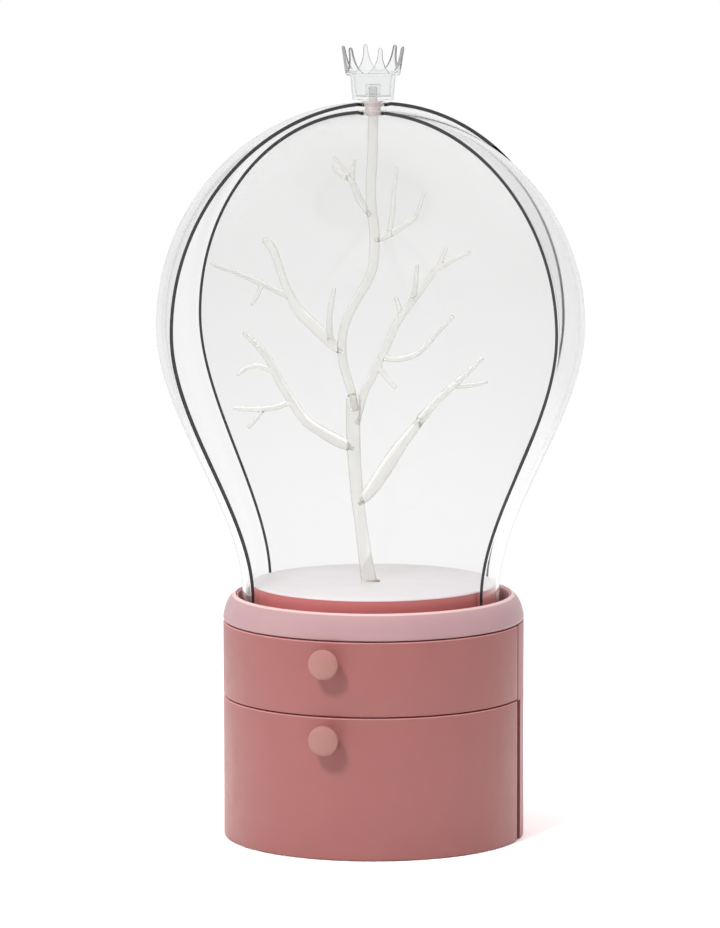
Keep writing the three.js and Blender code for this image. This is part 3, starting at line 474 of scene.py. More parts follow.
def fill(tree, node, inputs):
    """Gives each named socket of a node a value or a link"""
    for name, value in dict(inputs).items():
        if isinstance(value, bpy.types.NodeSocket):
            tree.links.new(value, node.inputs[name])
        else:
            node.inputs[name].default_value = value


def add(tree, kind, inputs=(), **settings):
    """A node with its settings, and its inputs filled"""
    made = tree.nodes.new(kind)
    for name, value in settings.items():
        setattr(made, name, value)
    fill(tree, made, inputs)
    return made


def new_group(name, kind, sockets):
    """A node group with its sockets, each given as in or out, name, type and default"""
    tree = bpy.data.node_groups.new(name, kind)
    for side, label, socket_type, default in sockets:
        made = tree.interface.new_socket(
            name=label, in_out=side, socket_type=f"NodeSocket{socket_type}")
        if default is not None:
            made.default_value = default
    return tree, tree.nodes.new("NodeGroupInput").outputs, tree.nodes.new("NodeGroupOutput")


def object_place(tree):
    return add(tree, "ShaderNodeTexCoord").outputs["Object"]


def noise(tree, coordinates, scale, detail=2.0, roughness=0.5):
    inputs = {"Vector": coordinates, "Scale": scale, "Detail": detail, "Roughness": roughness}
    return add(tree, "ShaderNodeTexNoise", inputs).outputs["Fac"]


def ranged(tree, value, lowest, highest, start=0.3, end=0.7):
    return add(tree, "ShaderNodeMapRange", {
        "Value": value,
        "From Min": start,
        "From Max": end,
        "To Min": lowest,
        "To Max": highest,
    }).outputs["Result"]


def blended(tree, factor, first, second):
    inputs = {0: factor, 6: first, 7: second}
    return add(tree, "ShaderNodeMix", inputs, data_type="RGBA").outputs[2]


def math_node(tree, operation, first, second):
    return add(tree, "ShaderNodeMath", {0: first, 1: second}, operation=operation).outputs[0]


def mixed_surface(tree, output, factor, first, second):
    """Ends a material or world in a mix of two shaders"""
    mix = add(tree, "ShaderNodeMixShader", {0: factor, 1: first, 2: second})
    tree.links.new(mix.outputs[0], tree.nodes[output].inputs["Surface"])


# Scales of the patterns in the finishes, in repeats for each metre, and how far they reach
GRAIN_SCALE = 2600.0
MOTTLE_SCALE = 38.0
HANDLING_SCALE = 120.0
SMEAR_SCALE = 55.0
WAVE_SCALE = 24.0
DRAWN_GRAIN_SCALE = 4000.0
DULL_PATCH_SCALE = 900.0
DARK_MOTTLE_VALUE = 0.82
DULL_STEEL_VALUE = 0.8
SPECKLE = 0.015
UNEVEN_SHINE = 0.05
MOULD_GRAIN = 0.00002
SHALLOW_GRAIN = 0.000008
RUBBER_GRAIN = 0.00005
STEEL_GRAIN = 0.00001
STEEL_UNEVENNESS = 0.08
WAVE_DEPTH = 0.00005


def moulded_surface():
    """Fine mould grain, slow colour mottle and a little uneven shine"""
    name = "Moulded surface"
    if name in bpy.data.node_groups:
        return bpy.data.node_groups[name]
    tree, given, result = new_group(name, "ShaderNodeTree", [
        ("INPUT", "Colour", "Color", (0.5, 0.5, 0.5, 1)),
        ("INPUT", "Roughness", "Float", 0.45),
        ("INPUT", "Grain Depth", "Float", MOULD_GRAIN),
        ("INPUT", "Mottle", "Float", 0.06),
        ("OUTPUT", "Colour", "Color", None),
        ("OUTPUT", "Roughness", "Float", None),
        ("OUTPUT", "Normal", "Vector", None),
    ])
    place = object_place(tree)
    grain = noise(tree, place, GRAIN_SCALE, 3.0, 0.6)
    slow = noise(tree, place, MOTTLE_SCALE, 3.0)
    handled = noise(tree, place, HANDLING_SCALE, 4.0, 0.6)
    dark = add(tree, "ShaderNodeHueSaturation", {
        "Color": given["Colour"],
        "Value": DARK_MOTTLE_VALUE,
    })
    share = math_node(tree, "MULTIPLY", ranged(tree, slow, 0.0, 1.0), given["Mottle"])
    colour = blended(tree, share, given["Colour"], dark.outputs["Color"])
    speckle = ranged(tree, grain, 1 - SPECKLE, 1 + SPECKLE)
    tinted = add(tree, "ShaderNodeHueSaturation", {"Color": colour, "Value": speckle})
    uneven = ranged(tree, handled, -UNEVEN_SHINE, UNEVEN_SHINE)
    bump = add(tree, "ShaderNodeBump", {"Height": grain, "Distance": given["Grain Depth"]})
    fill(tree, result, {
        "Colour": tinted.outputs["Color"],
        "Roughness": math_node(tree, "ADD", given["Roughness"], uneven),
        "Normal": bump.outputs["Normal"],
    })
    return tree


def clear_surface():
    """Handling smears and slow waves on a clear moulding"""
    name = "Clear surface"
    if name in bpy.data.node_groups:
        return bpy.data.node_groups[name]
    tree, given, result = new_group(name, "ShaderNodeTree", [
        ("INPUT", "Roughness", "Float", 0.05),
        ("INPUT", "Smear", "Float", 0.04),
        ("INPUT", "Wave Depth", "Float", WAVE_DEPTH),
        ("OUTPUT", "Roughness", "Float", None),
        ("OUTPUT", "Normal", "Vector", None),
    ])
    place = object_place(tree)
    smears = noise(tree, place, SMEAR_SCALE, 5.0, 0.65)
    share = ranged(tree, smears, 0.0, 1.0, 0.45, 0.75)
    added = math_node(tree, "MULTIPLY", share, given["Smear"])
    waves = noise(tree, place, WAVE_SCALE, 1.0)
    bump = add(tree, "ShaderNodeBump", {"Height": waves, "Distance": given["Wave Depth"]})
    fill(tree, result, {
        "Roughness": math_node(tree, "ADD", given["Roughness"], added),
        "Normal": bump.outputs["Normal"],
    })
    return tree


def new_material(name):
    made = bpy.data.materials.new(name)
    made.use_nodes = True
    tree = made.node_tree
    return made, tree, tree.nodes["Principled BSDF"]


def moulded(name, colour, roughness, grain_depth=MOULD_GRAIN):
    """Opaque moulded plastic"""
    made, tree, shader = new_material(name)
    surface = add(tree, "ShaderNodeGroup", {
        "Colour": (*colour, 1),
        "Roughness": roughness,
        "Grain Depth": grain_depth,
        "Mottle": MOTTLE,
    }, node_tree=moulded_surface())
    fill(tree, shader, {
        "Base Color": surface.outputs["Colour"],
        "Roughness": surface.outputs["Roughness"],
        "Normal": surface.outputs["Normal"],
    })
    return made


def clear(name, tint, lower_tint_or_grazing_shade, roughness, transmission, ior, smear=0.04, grazing_shade_range=None):
    """Clear plastic that lets the lamps light what is behind it

    Its second tint is painted shade where the eye grazes it or, without a range, met near the
    drum.
    """
    made, tree, shader = new_material(name)
    surface = add(tree, "ShaderNodeGroup", {
        "Roughness": roughness,
        "Smear": smear,
    }, node_tree=clear_surface())
    # Painted shade: with a range, the second tint darkens the piece where the eye grazes it
    if grazing_shade_range:
        facing_shade = add(tree, "ShaderNodeLayerWeight", {"Blend": 0.5}).outputs["Facing"]
        share = ranged(tree, facing_shade, 0.0, 1.0, *grazing_shade_range)
    else:
        height = add(tree, "ShaderNodeSeparateXYZ", {"Vector": object_place(tree)}).outputs["Z"]
        share = ranged(tree, height, 1.0, 0.0, *DOME_TINT_HEIGHTS)
    fill(tree, shader, {
        "Base Color": blended(tree, share, (*tint, 1), (*lower_tint_or_grazing_shade, 1)),
        "Roughness": surface.outputs["Roughness"],
        "Normal": surface.outputs["Normal"],
        "Transmission Weight": transmission,
        "IOR": ior,
    })
    through = add(tree, "ShaderNodeBsdfTransparent", {"Color": (*tint, 1)})
    shaded = add(tree, "ShaderNodeLightPath").outputs["Is Shadow Ray"]
    mixed_surface(
        tree, "Material Output", shaded, shader.outputs["BSDF"], through.outputs["BSDF"])
    return made


def metal(name, colour, roughness):
    """Zinc-plated steel with a fine drawn grain"""
    made, tree, shader = new_material(name)
    place = object_place(tree)
    grain = noise(tree, place, DRAWN_GRAIN_SCALE, 3.0, 0.6)
    dull = add(tree, "ShaderNodeHueSaturation", {
        "Color": (*colour, 1),
        "Value": DULL_STEEL_VALUE,
    })
    share = ranged(tree, noise(tree, place, DULL_PATCH_SCALE), 0.0, 1.0)
    bump = add(tree, "ShaderNodeBump", {"Height": grain, "Distance": STEEL_GRAIN})
    fill(tree, shader, {
        "Base Color": blended(tree, share, (*colour, 1), dull.outputs["Color"]),
        "Roughness": ranged(
            tree, grain, roughness - STEEL_UNEVENNESS, roughness + STEEL_UNEVENNESS),
        "Normal": bump.outputs["Normal"],
        "Metallic": 1,
    })
    return made


# Finishes

DOME_TINT_HEIGHTS = (0.17, 0.31)
MOTTLE = 0.25
STEEL_COLOUR = (0.62, 0.63, 0.64)
RUBBER_COLOUR = (0.025, 0.023, 0.023)
BEARING_COLOUR = (0.86, 0.84, 0.79)


def finish(name):
    """The named finish, made when it is first asked for"""
    if name in bpy.data.materials:
        return bpy.data.materials[name]
    tint = colours()
    makers = {
        "drum_plastic": lambda: moulded(name, tint.drum, roughness=0.42),
        # Painted highlight on the drawer fronts' rounded top edges
        "drum_band": lambda: moulded(name, tint.drum_band, roughness=0.42),
        "skirt_plastic": lambda: moulded(name, tint.skirt, roughness=0.42),
        # Painted highlight on the collar's inner lip
        "collar_lip": lambda: moulded(name, tint.lip, roughness=0.4),
        "collar_plastic": lambda: moulded(name, tint.collar, roughness=0.4),
        # Painted highlight on the turntable's up-facing top
        "platform_top": lambda: moulded(name, tint.platform, roughness=0.5),
        "knob_plastic": lambda: moulded(name, tint.knob, 0.42, SHALLOW_GRAIN),
        "bushing_plastic": lambda: moulded(name, tint.bushing, roughness=0.4),
        "bearing_plastic": lambda: moulded(name, BEARING_COLOUR, roughness=0.35),
        "pad_rubber": lambda: moulded(name, RUBBER_COLOUR, 0.8, RUBBER_GRAIN),
        "dome_clear": lambda: clear(
            name, tint.dome, tint.dome_low, roughness=0.02, transmission=1.0, ior=1.2),
        # Painted shade: near black on the shells' cut edges
        "dome_edge": lambda: moulded(name, tint.dome_edge, 0.35, SHALLOW_GRAIN),
        # The stand, with painted shade where the eye grazes it
        "stand_milky": lambda: clear(
            name, tint.stand, tint.stand_grazing_shade, roughness=0.12, transmission=0.8, ior=1.3,
            smear=0.06, grazing_shade_range=(0.38, 0.9)),
        # Painted shade on the crown's prong crests
        "crown_edge": lambda: moulded(name, tint.crown_edge, 0.4, SHALLOW_GRAIN),
        # The crown, with painted shade where the eye grazes it
        "crown_clear": lambda: clear(
            name, tint.crown, tint.crown_grazing_shade, roughness=0.05, transmission=0.97, ior=1.14,
            smear=0.0, grazing_shade_range=(0.5, 0.96)),
        "screw_steel": lambda: metal(name, STEEL_COLOUR, roughness=0.32),
    }
    return makers[name]()


# Outlines

# The share of a side that the rounding at one of its ends may take
SIDE_SHARE = 0.49


def rounded(corners, steps=4):
    """A closed outline from (radius, height, rounding) corners"""
    points = []
    for index, (across, up, rounding) in enumerate(corners):
        corner = Vector((across, up))
        before = Vector(corners[index - 1][:2]) - corner
        after = Vector(corners[(index + 1) % len(corners)][:2]) - corner
        if not rounding:
            points.append(tuple(corner))
            continue
        bend = before.angle(after)
        room = min(before.length, after.length) * SIDE_SHARE
        reach = min(rounding / math.tan(bend / 2), room)
        start = corner + before.normalized() * reach
        end = corner + after.normalized() * reach
        for step in range(steps + 1):
            share = step / steps
            spot = start.lerp(corner, share).lerp(corner.lerp(end, share), share)
            points.append(tuple(spot))
    return points


def bezier(points, steps):
    """Points along a Bezier curve of any degree"""
    spots = []
    for step in range(steps + 1):
        row = [Vector(point) for point in points]
        while len(row) > 1:
            row = [a.lerp(b, step / steps) for a, b in zip(row, row[1:])]
        spots.append(tuple(row[0]))
    return spots


def arc(centre, across, up, start, end, steps):
    angles = (math.radians(start + (end - start) * step / steps) for step in range(steps + 1))
    return [(centre[0] + across * math.cos(a), centre[1] + up * math.sin(a)) for a in angles]


def polar(radius, bearing, height):
    angle = math.radians(bearing)
    return Vector((radius * math.sin(angle), -radius * math.cos(angle), height))


# Meshes

# Edges that bend by more degrees than this stay sharp
SHARP_ANGLE = 35
WELD_DISTANCE = 0.000001
PATH_RADIUS = 0.001
PLUG_SEGMENTS = 32


def new_mesh(points, edges=(), faces=()):
    mesh = bpy.data.meshes.new("shape")
    mesh.from_pydata([tuple(point) for point in points], list(edges), list(faces))
    return mesh


def new_object(name, data):
    made = bpy.data.objects.new(name, data)
    bpy.context.scene.collection.objects.link(made)
    return made


def holder(mesh):
    """A helper object that carries a mesh while modifiers run on it"""
    return new_object("helper", mesh)


def modify(made, kind, **settings):
    """Puts a modifier with its settings on an object"""
    modifier = made.modifiers.new(kind, kind)
    for name, value in settings.items():
        setattr(modifier, name, value)
    return modifier


def taken(made, *others):
    """The mesh of a helper object as its modifiers leave it; the helpers are removed"""
    graph = bpy.context.evaluated_depsgraph_get()
    mesh = bpy.data.meshes.new_from_object(made.evaluated_get(graph))
    for helper in (made, *others):
        bpy.data.objects.remove(helper)
    return mesh


def welded(mesh, outward=True):
    """Merges doubled points, closes poles and turns faces outwards"""
    work = bmesh.new()
    work.from_mesh(mesh)
    bmesh.ops.remove_doubles(work, verts=work.verts, dist=WELD_DISTANCE)
    bmesh.ops.dissolve_degenerate(work, edges=work.edges, dist=WELD_DISTANCE / 10)
    if outward:
        bmesh.ops.recalc_face_normals(work, faces=work.faces)
    work.to_mesh(mesh)
    work.free()
    return mesh


def end_tree(tree, geometry, given, result):
    """Ends a tree with its geometry made real, in its material"""
    real = add(tree, "GeometryNodeRealizeInstances", {"Geometry": geometry})
    painted = add(tree, "GeometryNodeSetMaterial", {
        "Geometry": real.outputs["Geometry"],
        "Material": given["Material"],
    })
    tree.links.new(painted.outputs["Geometry"], result.inputs["Geometry"])
    return tree


def turned_tree():
    """Sweeps an outline about the Z axis, through a whole turn or part of one"""
    name = "Turned piece"
    if name in bpy.data.node_groups:
        return bpy.data.node_groups[name]
    tree, given, result = new_group(name, "GeometryNodeTree", [
        ("INPUT", "Outline", "Geometry", None),
        ("INPUT", "Whole Turn", "Bool", True),
        ("INPUT", "Start", "Float", 0.0),
        ("INPUT", "Sweep", "Float", math.pi),
        ("INPUT", "Segments", "Int", 96),
        ("INPUT", "Path Radius", "Float", PATH_RADIUS),
        ("INPUT", "Caps", "Bool", True),
        ("INPUT", "Material", "Material", None),
        ("OUTPUT", "Geometry", "Geometry", None),
    ])
    part = add(tree, "GeometryNodeCurveArc", {
        "Resolution": given["Segments"],
        "Radius": given["Path Radius"],
        "Start Angle": given["Start"],
        "Sweep Angle": given["Sweep"],
    }, mode="RADIUS")
    whole = add(tree, "GeometryNodeCurvePrimitiveCircle", {
        "Resolution": given["Segments"],
        "Radius": given["Path Radius"],
    }, mode="RADIUS")
    path = add(tree, "GeometryNodeSwitch", {
        "Switch": given["Whole Turn"],
        "False": part.outputs["Curve"],
        "True": whole.outputs["Curve"],
    }, input_type="GEOMETRY")
    outline = add(tree, "GeometryNodeMeshToCurve", {"Mesh": given["Outline"]})
    swept = add(tree, "GeometryNodeCurveToMesh", {
        "Curve": path.outputs["Output"],
        "Profile Curve": outline.outputs["Curve"],
        "Fill Caps": given["Caps"],
    })
    return end_tree(tree, swept.outputs["Mesh"], given, result)


def run_tree(mesh, tree, values):
    """The mesh that a Geometry Nodes tree makes of another, with the tree's named inputs set"""
    made = holder(mesh)
    modifier = modify(made, "NODES", node_group=tree)
    for item in tree.interface.items_tree:
        if item.in_out == "INPUT" and item.name in values:
            modifier[item.identifier] = values[item.name]
    return taken(made)


def swept(outline, finish_name, segments=None, start=None, sweep=360.0, is_open=False):
    """Sweeps (radius, height) points about Z, from the bearing at start; whole turns close"""
    points = [(radius - PATH_RADIUS, -height, 0) for radius, height in outline]
    edges = [(index, index + 1) for index in range(len(points) - 1)]
    if not is_open:
        edges.append((len(points) - 1, 0))
    mesh = run_tree(new_mesh(points, edges), turned_tree(), {
        "Whole Turn": start is None,
        "Start": math.radians((start or 0.0) - 90),
        "Sweep": math.radians(sweep),
        "Segments": segments or sizes().turn_segments,
        "Path Radius": PATH_RADIUS,
        "Caps": not is_open,
        "Material": finish(finish_name),
    })
    return welded(mesh, not is_open)


def turned(corners, finish_name, segments=None):
    return swept(rounded(corners), finish_name, segments)


def disc(radius, bottom, top, rounding=0.0, segments=None, place=(0, 0)):
    corners = [(0, bottom, 0), (radius, bottom, rounding), (radius, top, rounding), (0, top, 0)]
    mesh = turned(corners, "drum_plastic", segments)
    mesh.transform(Matrix.Translation((*place, 0)))
    return mesh


def pillar(radius, bottom, top, place=(0, 0)):
    return disc(radius, bottom, top, 0.0, sizes().small_segments, place)


def ring(inner, outer, bottom, top, rounding, finish_name):
    sides = ((inner, bottom), (outer, bottom), (outer, top), (inner, top))
    corners = [(*side, rounding) for side in sides]
    return turned(corners, finish_name, sizes().small_segments)


def block(lowest, highest, rounding=0.0):
    work = bmesh.new()
    bmesh.ops.create_cube(work, size=1)
    for vertex in work.verts:
        for axis in (X, Y, Z):
            vertex.co[axis] = highest[axis] if vertex.co[axis] > 0 else lowest[axis]
    if rounding:
        bmesh.ops.bevel(
            work, geom=work.edges[:], offset=rounding, segments=2, affect="EDGES", profile=0.5)
    mesh = bpy.data.meshes.new("block")
    work.to_mesh(mesh)
    work.free()
    return mesh


def bar(across, width, front, rear, bottom, top, rounding):
    """A block to both sides of a middle line, from front to rear"""
    return block((across - width / 2, front, bottom), (across + width / 2, rear, top), rounding)


def combined(mesh, others, operation):
    """A mesh with others joined to it or cut from it"""
    made = holder(mesh)
    helpers = [holder(other) for other in others]
    for helper in helpers:
        modify(made, "BOOLEAN", operation=operation, solver="MANIFOLD", object=helper)
    return taken(made, *helpers)


def loft(rings, is_ring=False):
    """Skins closed rings of points, with flat ends or joined into a ring"""
    count = len(rings[0])
    points = [point for each in rings for point in each]
    faces = []
    for first in range(len(rings) if is_ring else len(rings) - 1):
        row = first * count
        next_row = (first + 1) % len(rings) * count
        for index in range(count):
            after = (index + 1) % count
            faces.append((row + index, row + after, next_row + after, next_row + index))
    if not is_ring:
        faces.append(tuple(reversed(range(count))))
        faces.append(tuple(range((len(rings) - 1) * count, len(rings) * count)))
    return welded(new_mesh(points, faces=faces))


def band(inner, outer, bottom, top, start, end, rounding):
    """An arc of wall between two bearings, with all its edges rounded"""
    def section(inset):
        return rounded([
            (inner + inset, bottom + inset, rounding / 2),
            (outer - inset, bottom + inset, rounding),
            (outer - inset, top - inset, rounding),
            (inner + inset, top - inset, rounding / 2),
        ])

    end_steps = 3
    stations = []
    for step in range(end_steps + 1):
        angle = math.radians(90 * step / end_steps)
        along = math.degrees(rounding * (1 - math.cos(angle)) / outer)
        stations.append((along, rounding * (1 - math.sin(angle))))
    bearings = [(start + along, inset) for along, inset in stations]
    count = sizes().turn_segments // 2
    for index in range(1, count):
        bearings.append((start + (end - start) * index / count, 0.0))
    bearings += [(end - along, inset) for along, inset in reversed(stations)]
    return loft([
        [polar(radius, bearing, height) for radius, height in section(inset)]
        for bearing, inset in bearings
    ])


def give_finishes(mesh, finish_names):
    mesh.materials.clear()
    for finish_name in finish_names.split():
        mesh.materials.append(finish(finish_name))


def finished(name, mesh, finish_names, body, slot, *nodes, sharp=SHARP_ANGLE):
    """Makes a mesh a finished piece that rides on a body and stands for CAD nodes"""
    mesh.name = name
    give_finishes(mesh, finish_names)
    mesh.shade_smooth()
    mesh.set_sharp_from_angle(angle=math.radians(sharp))
    piece = new_object(name, mesh)
    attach(piece, body)
    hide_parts(*nodes)
    return piece


# Each second finish given this way is a painted highlight or painted shade
def paint(piece, is_second):
    """Gives a piece's second finish to the faces that a test picks"""
    for face in piece.data.polygons:
        face.material_index = int(is_second(face))


# Drum

def middle(node):
    lowest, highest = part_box(node)
    return (lowest + highest) / 2


def rails(deck_top):
    """Two rails and a stop on a floor or shelf"""
    bottom, top = deck_top - OVERRUN, deck_top + RAIL_HEIGHT
    rows = (
        (-RAIL_OFFSET, RAIL_WIDTH, -RAIL_FRONT_REACH, RAIL_REAR_REACH),
        (RAIL_OFFSET, RAIL_WIDTH, -RAIL_FRONT_REACH, RAIL_REAR_REACH),
        (0, STOP_WIDTH, -STOP_SETBACK - STOP_LENGTH, -STOP_SETBACK),
    )
    return [bar(*row, bottom, top, sizes().edge_round / 2) for row in rows]


def screw_hole(place, bottom, top, head_end):
    """A bore through a piece, with a pocket for the screw's head at its lower end"""
    return [
        pillar(PILOT_RADIUS, bottom, top, place),
        pillar(SCREW_HEAD_RADIUS + FIT_GAP, bottom, head_end, place),
    ]


def base_plate():
    edge = sizes().edge_round
    plate = disc(PLATE_RADIUS, DRUM_BOTTOM, PLATE_TOP, edge)
    cutters = [disc(PAD_RADIUS + FIT_GAP, DRUM_BOTTOM - OVERRUN, PAD_TOP + FIT_GAP)]
    for screw in BASE_SCREWS:
        cutters += screw_hole(
            middle(screw).xy, DRUM_BOTTOM - OVERRUN, PLATE_TOP + OVERRUN,
            DRUM_BOTTOM + SCREW_HEAD_HEIGHT + FIT_GAP)
    whole = combined(plate, rails(PLATE_TOP), "UNION")
    return combined(whole, cutters, "DIFFERENCE")


def rear_housing():
    """The half-round wall with the shelf, the top deck and the floor's screw bosses"""
    edge = sizes().edge_round
    wall = band(HOUSING_INSIDE, DRUM_RADIUS, DRUM_BOTTOM, DRUM_TOP, 90, 270, edge)
    joined = [
        disc(PLATE_RADIUS, SHELF_TOP - SHELF_THICKNESS, SHELF_TOP, edge / 2),
        disc(PLATE_RADIUS, DECK_BOTTOM, DRUM_TOP, edge / 2),
        *rails(SHELF_TOP),
    ]
    rear_half = block(
        (-DRUM_RADIUS, OVERRUN, 0), (DRUM_RADIUS, DRUM_RADIUS, DRUM_TOP + OVERRUN))
    decks = [
        disc(HOUSING_INSIDE + OVERRUN, SHELF_TOP - SHELF_THICKNESS, SHELF_TOP),
        disc(HOUSING_INSIDE + OVERRUN, DECK_BOTTOM, DRUM_TOP),
    ]
    joined += [combined(deck, [rear_half.copy()], "INTERSECT") for deck in decks]
    near, far = HOUSING_INSIDE - FIT_GAP, DRUM_RADIUS + OVERRUN
    cutters = [
        pillar(DECK_HOLE_RADIUS, DECK_BOTTOM - OVERRUN, DRUM_TOP + OVERRUN),
        block((near, -OVERRUN, 0), (far, WALL_NOTCH, LOWER_FRONT_TOP)),
        block((-far, -OVERRUN, 0), (-near, WALL_NOTCH, LOWER_FRONT_TOP)),
    ]
    for screw in BASE_SCREWS:
        place = middle(screw).xy
        tip = high(screw, Z)
        bottom = PLATE_TOP + FIT_GAP
        outward = place.normalized() * (HOUSING_INSIDE + OVERRUN - place.length)
        web = block(
            (-BOSS_RADIUS, 0, bottom), (BOSS_RADIUS, outward.length, tip + BOSS_ROOF))
        turn = Matrix.Rotation(math.atan2(place.y, place.x) - math.pi / 2, 4, "Z")
        web.transform(Matrix.Translation((*place, 0)) @ turn)
        joined += [web, pillar(BOSS_RADIUS, bottom, tip + BOSS_ROOF, place)]
        cutters.append(pillar(PILOT_RADIUS, 0, tip + FIT_GAP, place))
    for screw in COVER_SCREWS:
        cutters += screw_hole(
            middle(screw).xy, DECK_BOTTOM - OVERRUN, DRUM_TOP + OVERRUN,
            low(screw, Z) + SCREW_HEAD_HEIGHT + FIT_GAP)
    return combined(combined(wall, joined, "UNION"), cutters, "DIFFERENCE")


class JBOX_OT_drum(Operator):
    """Makes the non-slip pad, the floor and the rear housing"""

    bl_idname = "jbox.drum"
    bl_label = "Drum"

    def execute(self, context):
        pad = disc(PAD_RADIUS, 0, PAD_TOP, sizes().edge_round / 2)
        finished("non_slip_pad", pad, "pad_rubber", "base", "pad", "base_pad")
        finished("drum_floor", base_plate(), "drum_plastic", "base", "drum", "base_plate")
        finished("drum_housing", rear_housing(), "drum_plastic", "base", "drum", "rear_housing")
        return {"FINISHED"}


class JBOX_OT_cover(Operator):
    """Makes the collar with its groove and hub, and the bearing ring on the hub"""

    bl_idname = "jbox.cover"
    bl_label = "Top cover"

    def execute(self, context):
        edge = sizes().edge_round
        rim = GROOVE_RADIUS + COLLAR_LIP
        shoulder = bezier([
            (DRUM_RADIUS, COVER_BOTTOM + COLLAR_BAND),
            (DRUM_RADIUS - SHOULDER_INSET, COLLAR_TOP - SHOULDER_DROP),
            (rim, COLLAR_TOP),
        ], SHOULDER_STEPS)
        bore = SPINDLE_RADIUS + BORE_GAP
        outline = rounded([
            (GROOVE_RADIUS, COLLAR_TOP, edge),
            (GROOVE_RADIUS, GROOVE_FLOOR, edge),
            (HUB_RADIUS, GROOVE_FLOOR, edge),
            (HUB_RADIUS, HUB_TOP, edge / 2),
            (bore, HUB_TOP, edge / 2),
            (bore, COVER_BOTTOM, edge / 2),
            (DRUM_RADIUS, COVER_BOTTOM, sizes().collar_edge),
            (DRUM_RADIUS, COVER_BOTTOM + COLLAR_BAND, 0),
        ])
        cover = swept(outline + shoulder[1:], "collar_plastic")
        places = [middle(screw).xy for screw in COVER_SCREWS]
        boss_top = COVER_BOTTOM + COVER_BOSS_HEIGHT
        bosses = [pillar(BOSS_RADIUS, COVER_BOTTOM, boss_top, place) for place in places]
        tip = high(COVER_SCREWS[0], Z) + FIT_GAP
        holes = [pillar(PILOT_RADIUS, COVER_BOTTOM - OVERRUN, tip, place) for place in places]
        cover = combined(combined(cover, bosses, "UNION"), holes, "DIFFERENCE")
        piece = finished(
            "collar_and_hub", cover, "collar_plastic collar_lip", "base", "collar", "top_cover")
        # Painted highlight: the top of the collar's inner lip takes the pale lip finish
        paint(piece, lambda face: (
            -edge < face.center.xy.length - GROOVE_RADIUS
            and face.center.z > COLLAR_TOP - LIP_HIGHLIGHT_HEIGHT))
        bearing = ring(
            SPINDLE_RADIUS + FIT_GAP, HUB_RADIUS, low("platform_bearing_ring", Z),
            high("platform_bearing_ring", Z), edge / 3, "bearing_plastic")
        finished(
            "bearing_ring", bearing, "bearing_plastic", "base", "bearing",
            "platform_bearing_ring")
        return {"FINISHED"}


# Drawers

# A drawer front's band, a painted highlight along its rounded top edge, takes the faces whose
# normals rise by at least this
BAND_HIGHLIGHT_SLANT = 0.2


def tray(floor_bottom, wall_top):
    """A round tray whose front half widens to meet the drawer front"""
    fillet = sizes().tray_fillet / TRAY_WALL
    lip = TRAY_WALL / 2

    def ring_at(share, height):
        front = HOUSING_INSIDE + HOUSING_WALL / 2 * (1 - share)
        rear = TRAY_RADIUS - TRAY_WALL * share
        step = FRONT_END_GAP + TRAY_WALL * share
        front_limit = math.degrees(math.acos(step / front))
        rear_limit = math.degrees(math.acos(step / rear))
        count = sizes().turn_segments // 2
        points = []
        for radius, start, end in (
                (front, -front_limit, front_limit), (rear, rear_limit, 360 - rear_limit)):
            for index in range(count + 1):
                bearing = start + (end - start) * index / count
                points.append(polar(radius, bearing, height))
        return points

    # Each row is a share of the wall's thickness, inwards, and a height
    floor_top = floor_bottom + TRAY_FLOOR
    profile = [
        (0.5, floor_bottom),
        (0.15, floor_bottom + lip * 0.15),
        (0, floor_bottom + lip * 0.5),
        *arc((0.5, wall_top - lip), 0.5, lip, 180, 0, 10),
        *arc(
            (1 + fillet, floor_top + sizes().tray_fillet), fillet, sizes().tray_fillet, 180, 270,
            6),
    ]
    return loft([ring_at(share, height) for share, height in profile])


def drawer(deck_top, front_bottom, front_top, ceiling):
    """Front, tray, skids and catch in one moulding"""
    edge = sizes().edge_round
    skid_bottom = deck_top + FIT_GAP
    floor_bottom = skid_bottom + SKID_HEIGHT
    half = math.degrees(math.acos(FRONT_END_GAP / DRUM_RADIUS))
    front = band(
        HOUSING_INSIDE, DRUM_RADIUS, front_bottom, front_top, -half, half,
        sizes().front_edge)
    inside_floor = floor_bottom + TRAY_FLOOR / 2
    spread = RAIL_WIDTH / 2 + RAIL_SIDE_GAP + SKID_WIDTH / 2
    joined = [tray(floor_bottom, ceiling - TRAY_HEADROOM)]
    for side in (-1, 1):
        for flank in (-1, 1):
            joined.append(bar(
                side * RAIL_OFFSET + flank * spread, SKID_WIDTH, -RAIL_FRONT_REACH,
                RAIL_REAR_REACH, skid_bottom, inside_floor, edge / 2))
    joined.append(bar(
        0, STOP_WIDTH, CATCH_FRONT, CATCH_FRONT + STOP_LENGTH, skid_bottom + FIT_GAP,
        inside_floor, edge / 2))
    return combined(front, joined, "UNION")


def knob():
    """A button knob on a short neck, with the bore for its screw, standing on its foot"""
    widest = KNOB_DEPTH - KNOB_CROWN_DEPTH
    outline = [
        (0, KNOB_SCREW_REACH),
        (PILOT_RADIUS, KNOB_SCREW_REACH),
        (PILOT_RADIUS, 0),
        (KNOB_NECK_RADIUS, 0),
        (KNOB_NECK_RADIUS, KNOB_NECK_LENGTH),
    ]
    outline += arc((0, widest), KNOB_RADIUS, widest - KNOB_NECK_LENGTH, -45, 0, 10)
    outline += arc((0, widest), KNOB_RADIUS, KNOB_CROWN_DEPTH, 0, 90, 20)[1:]
    return swept(outline, "knob_plastic", sizes().small_segments)


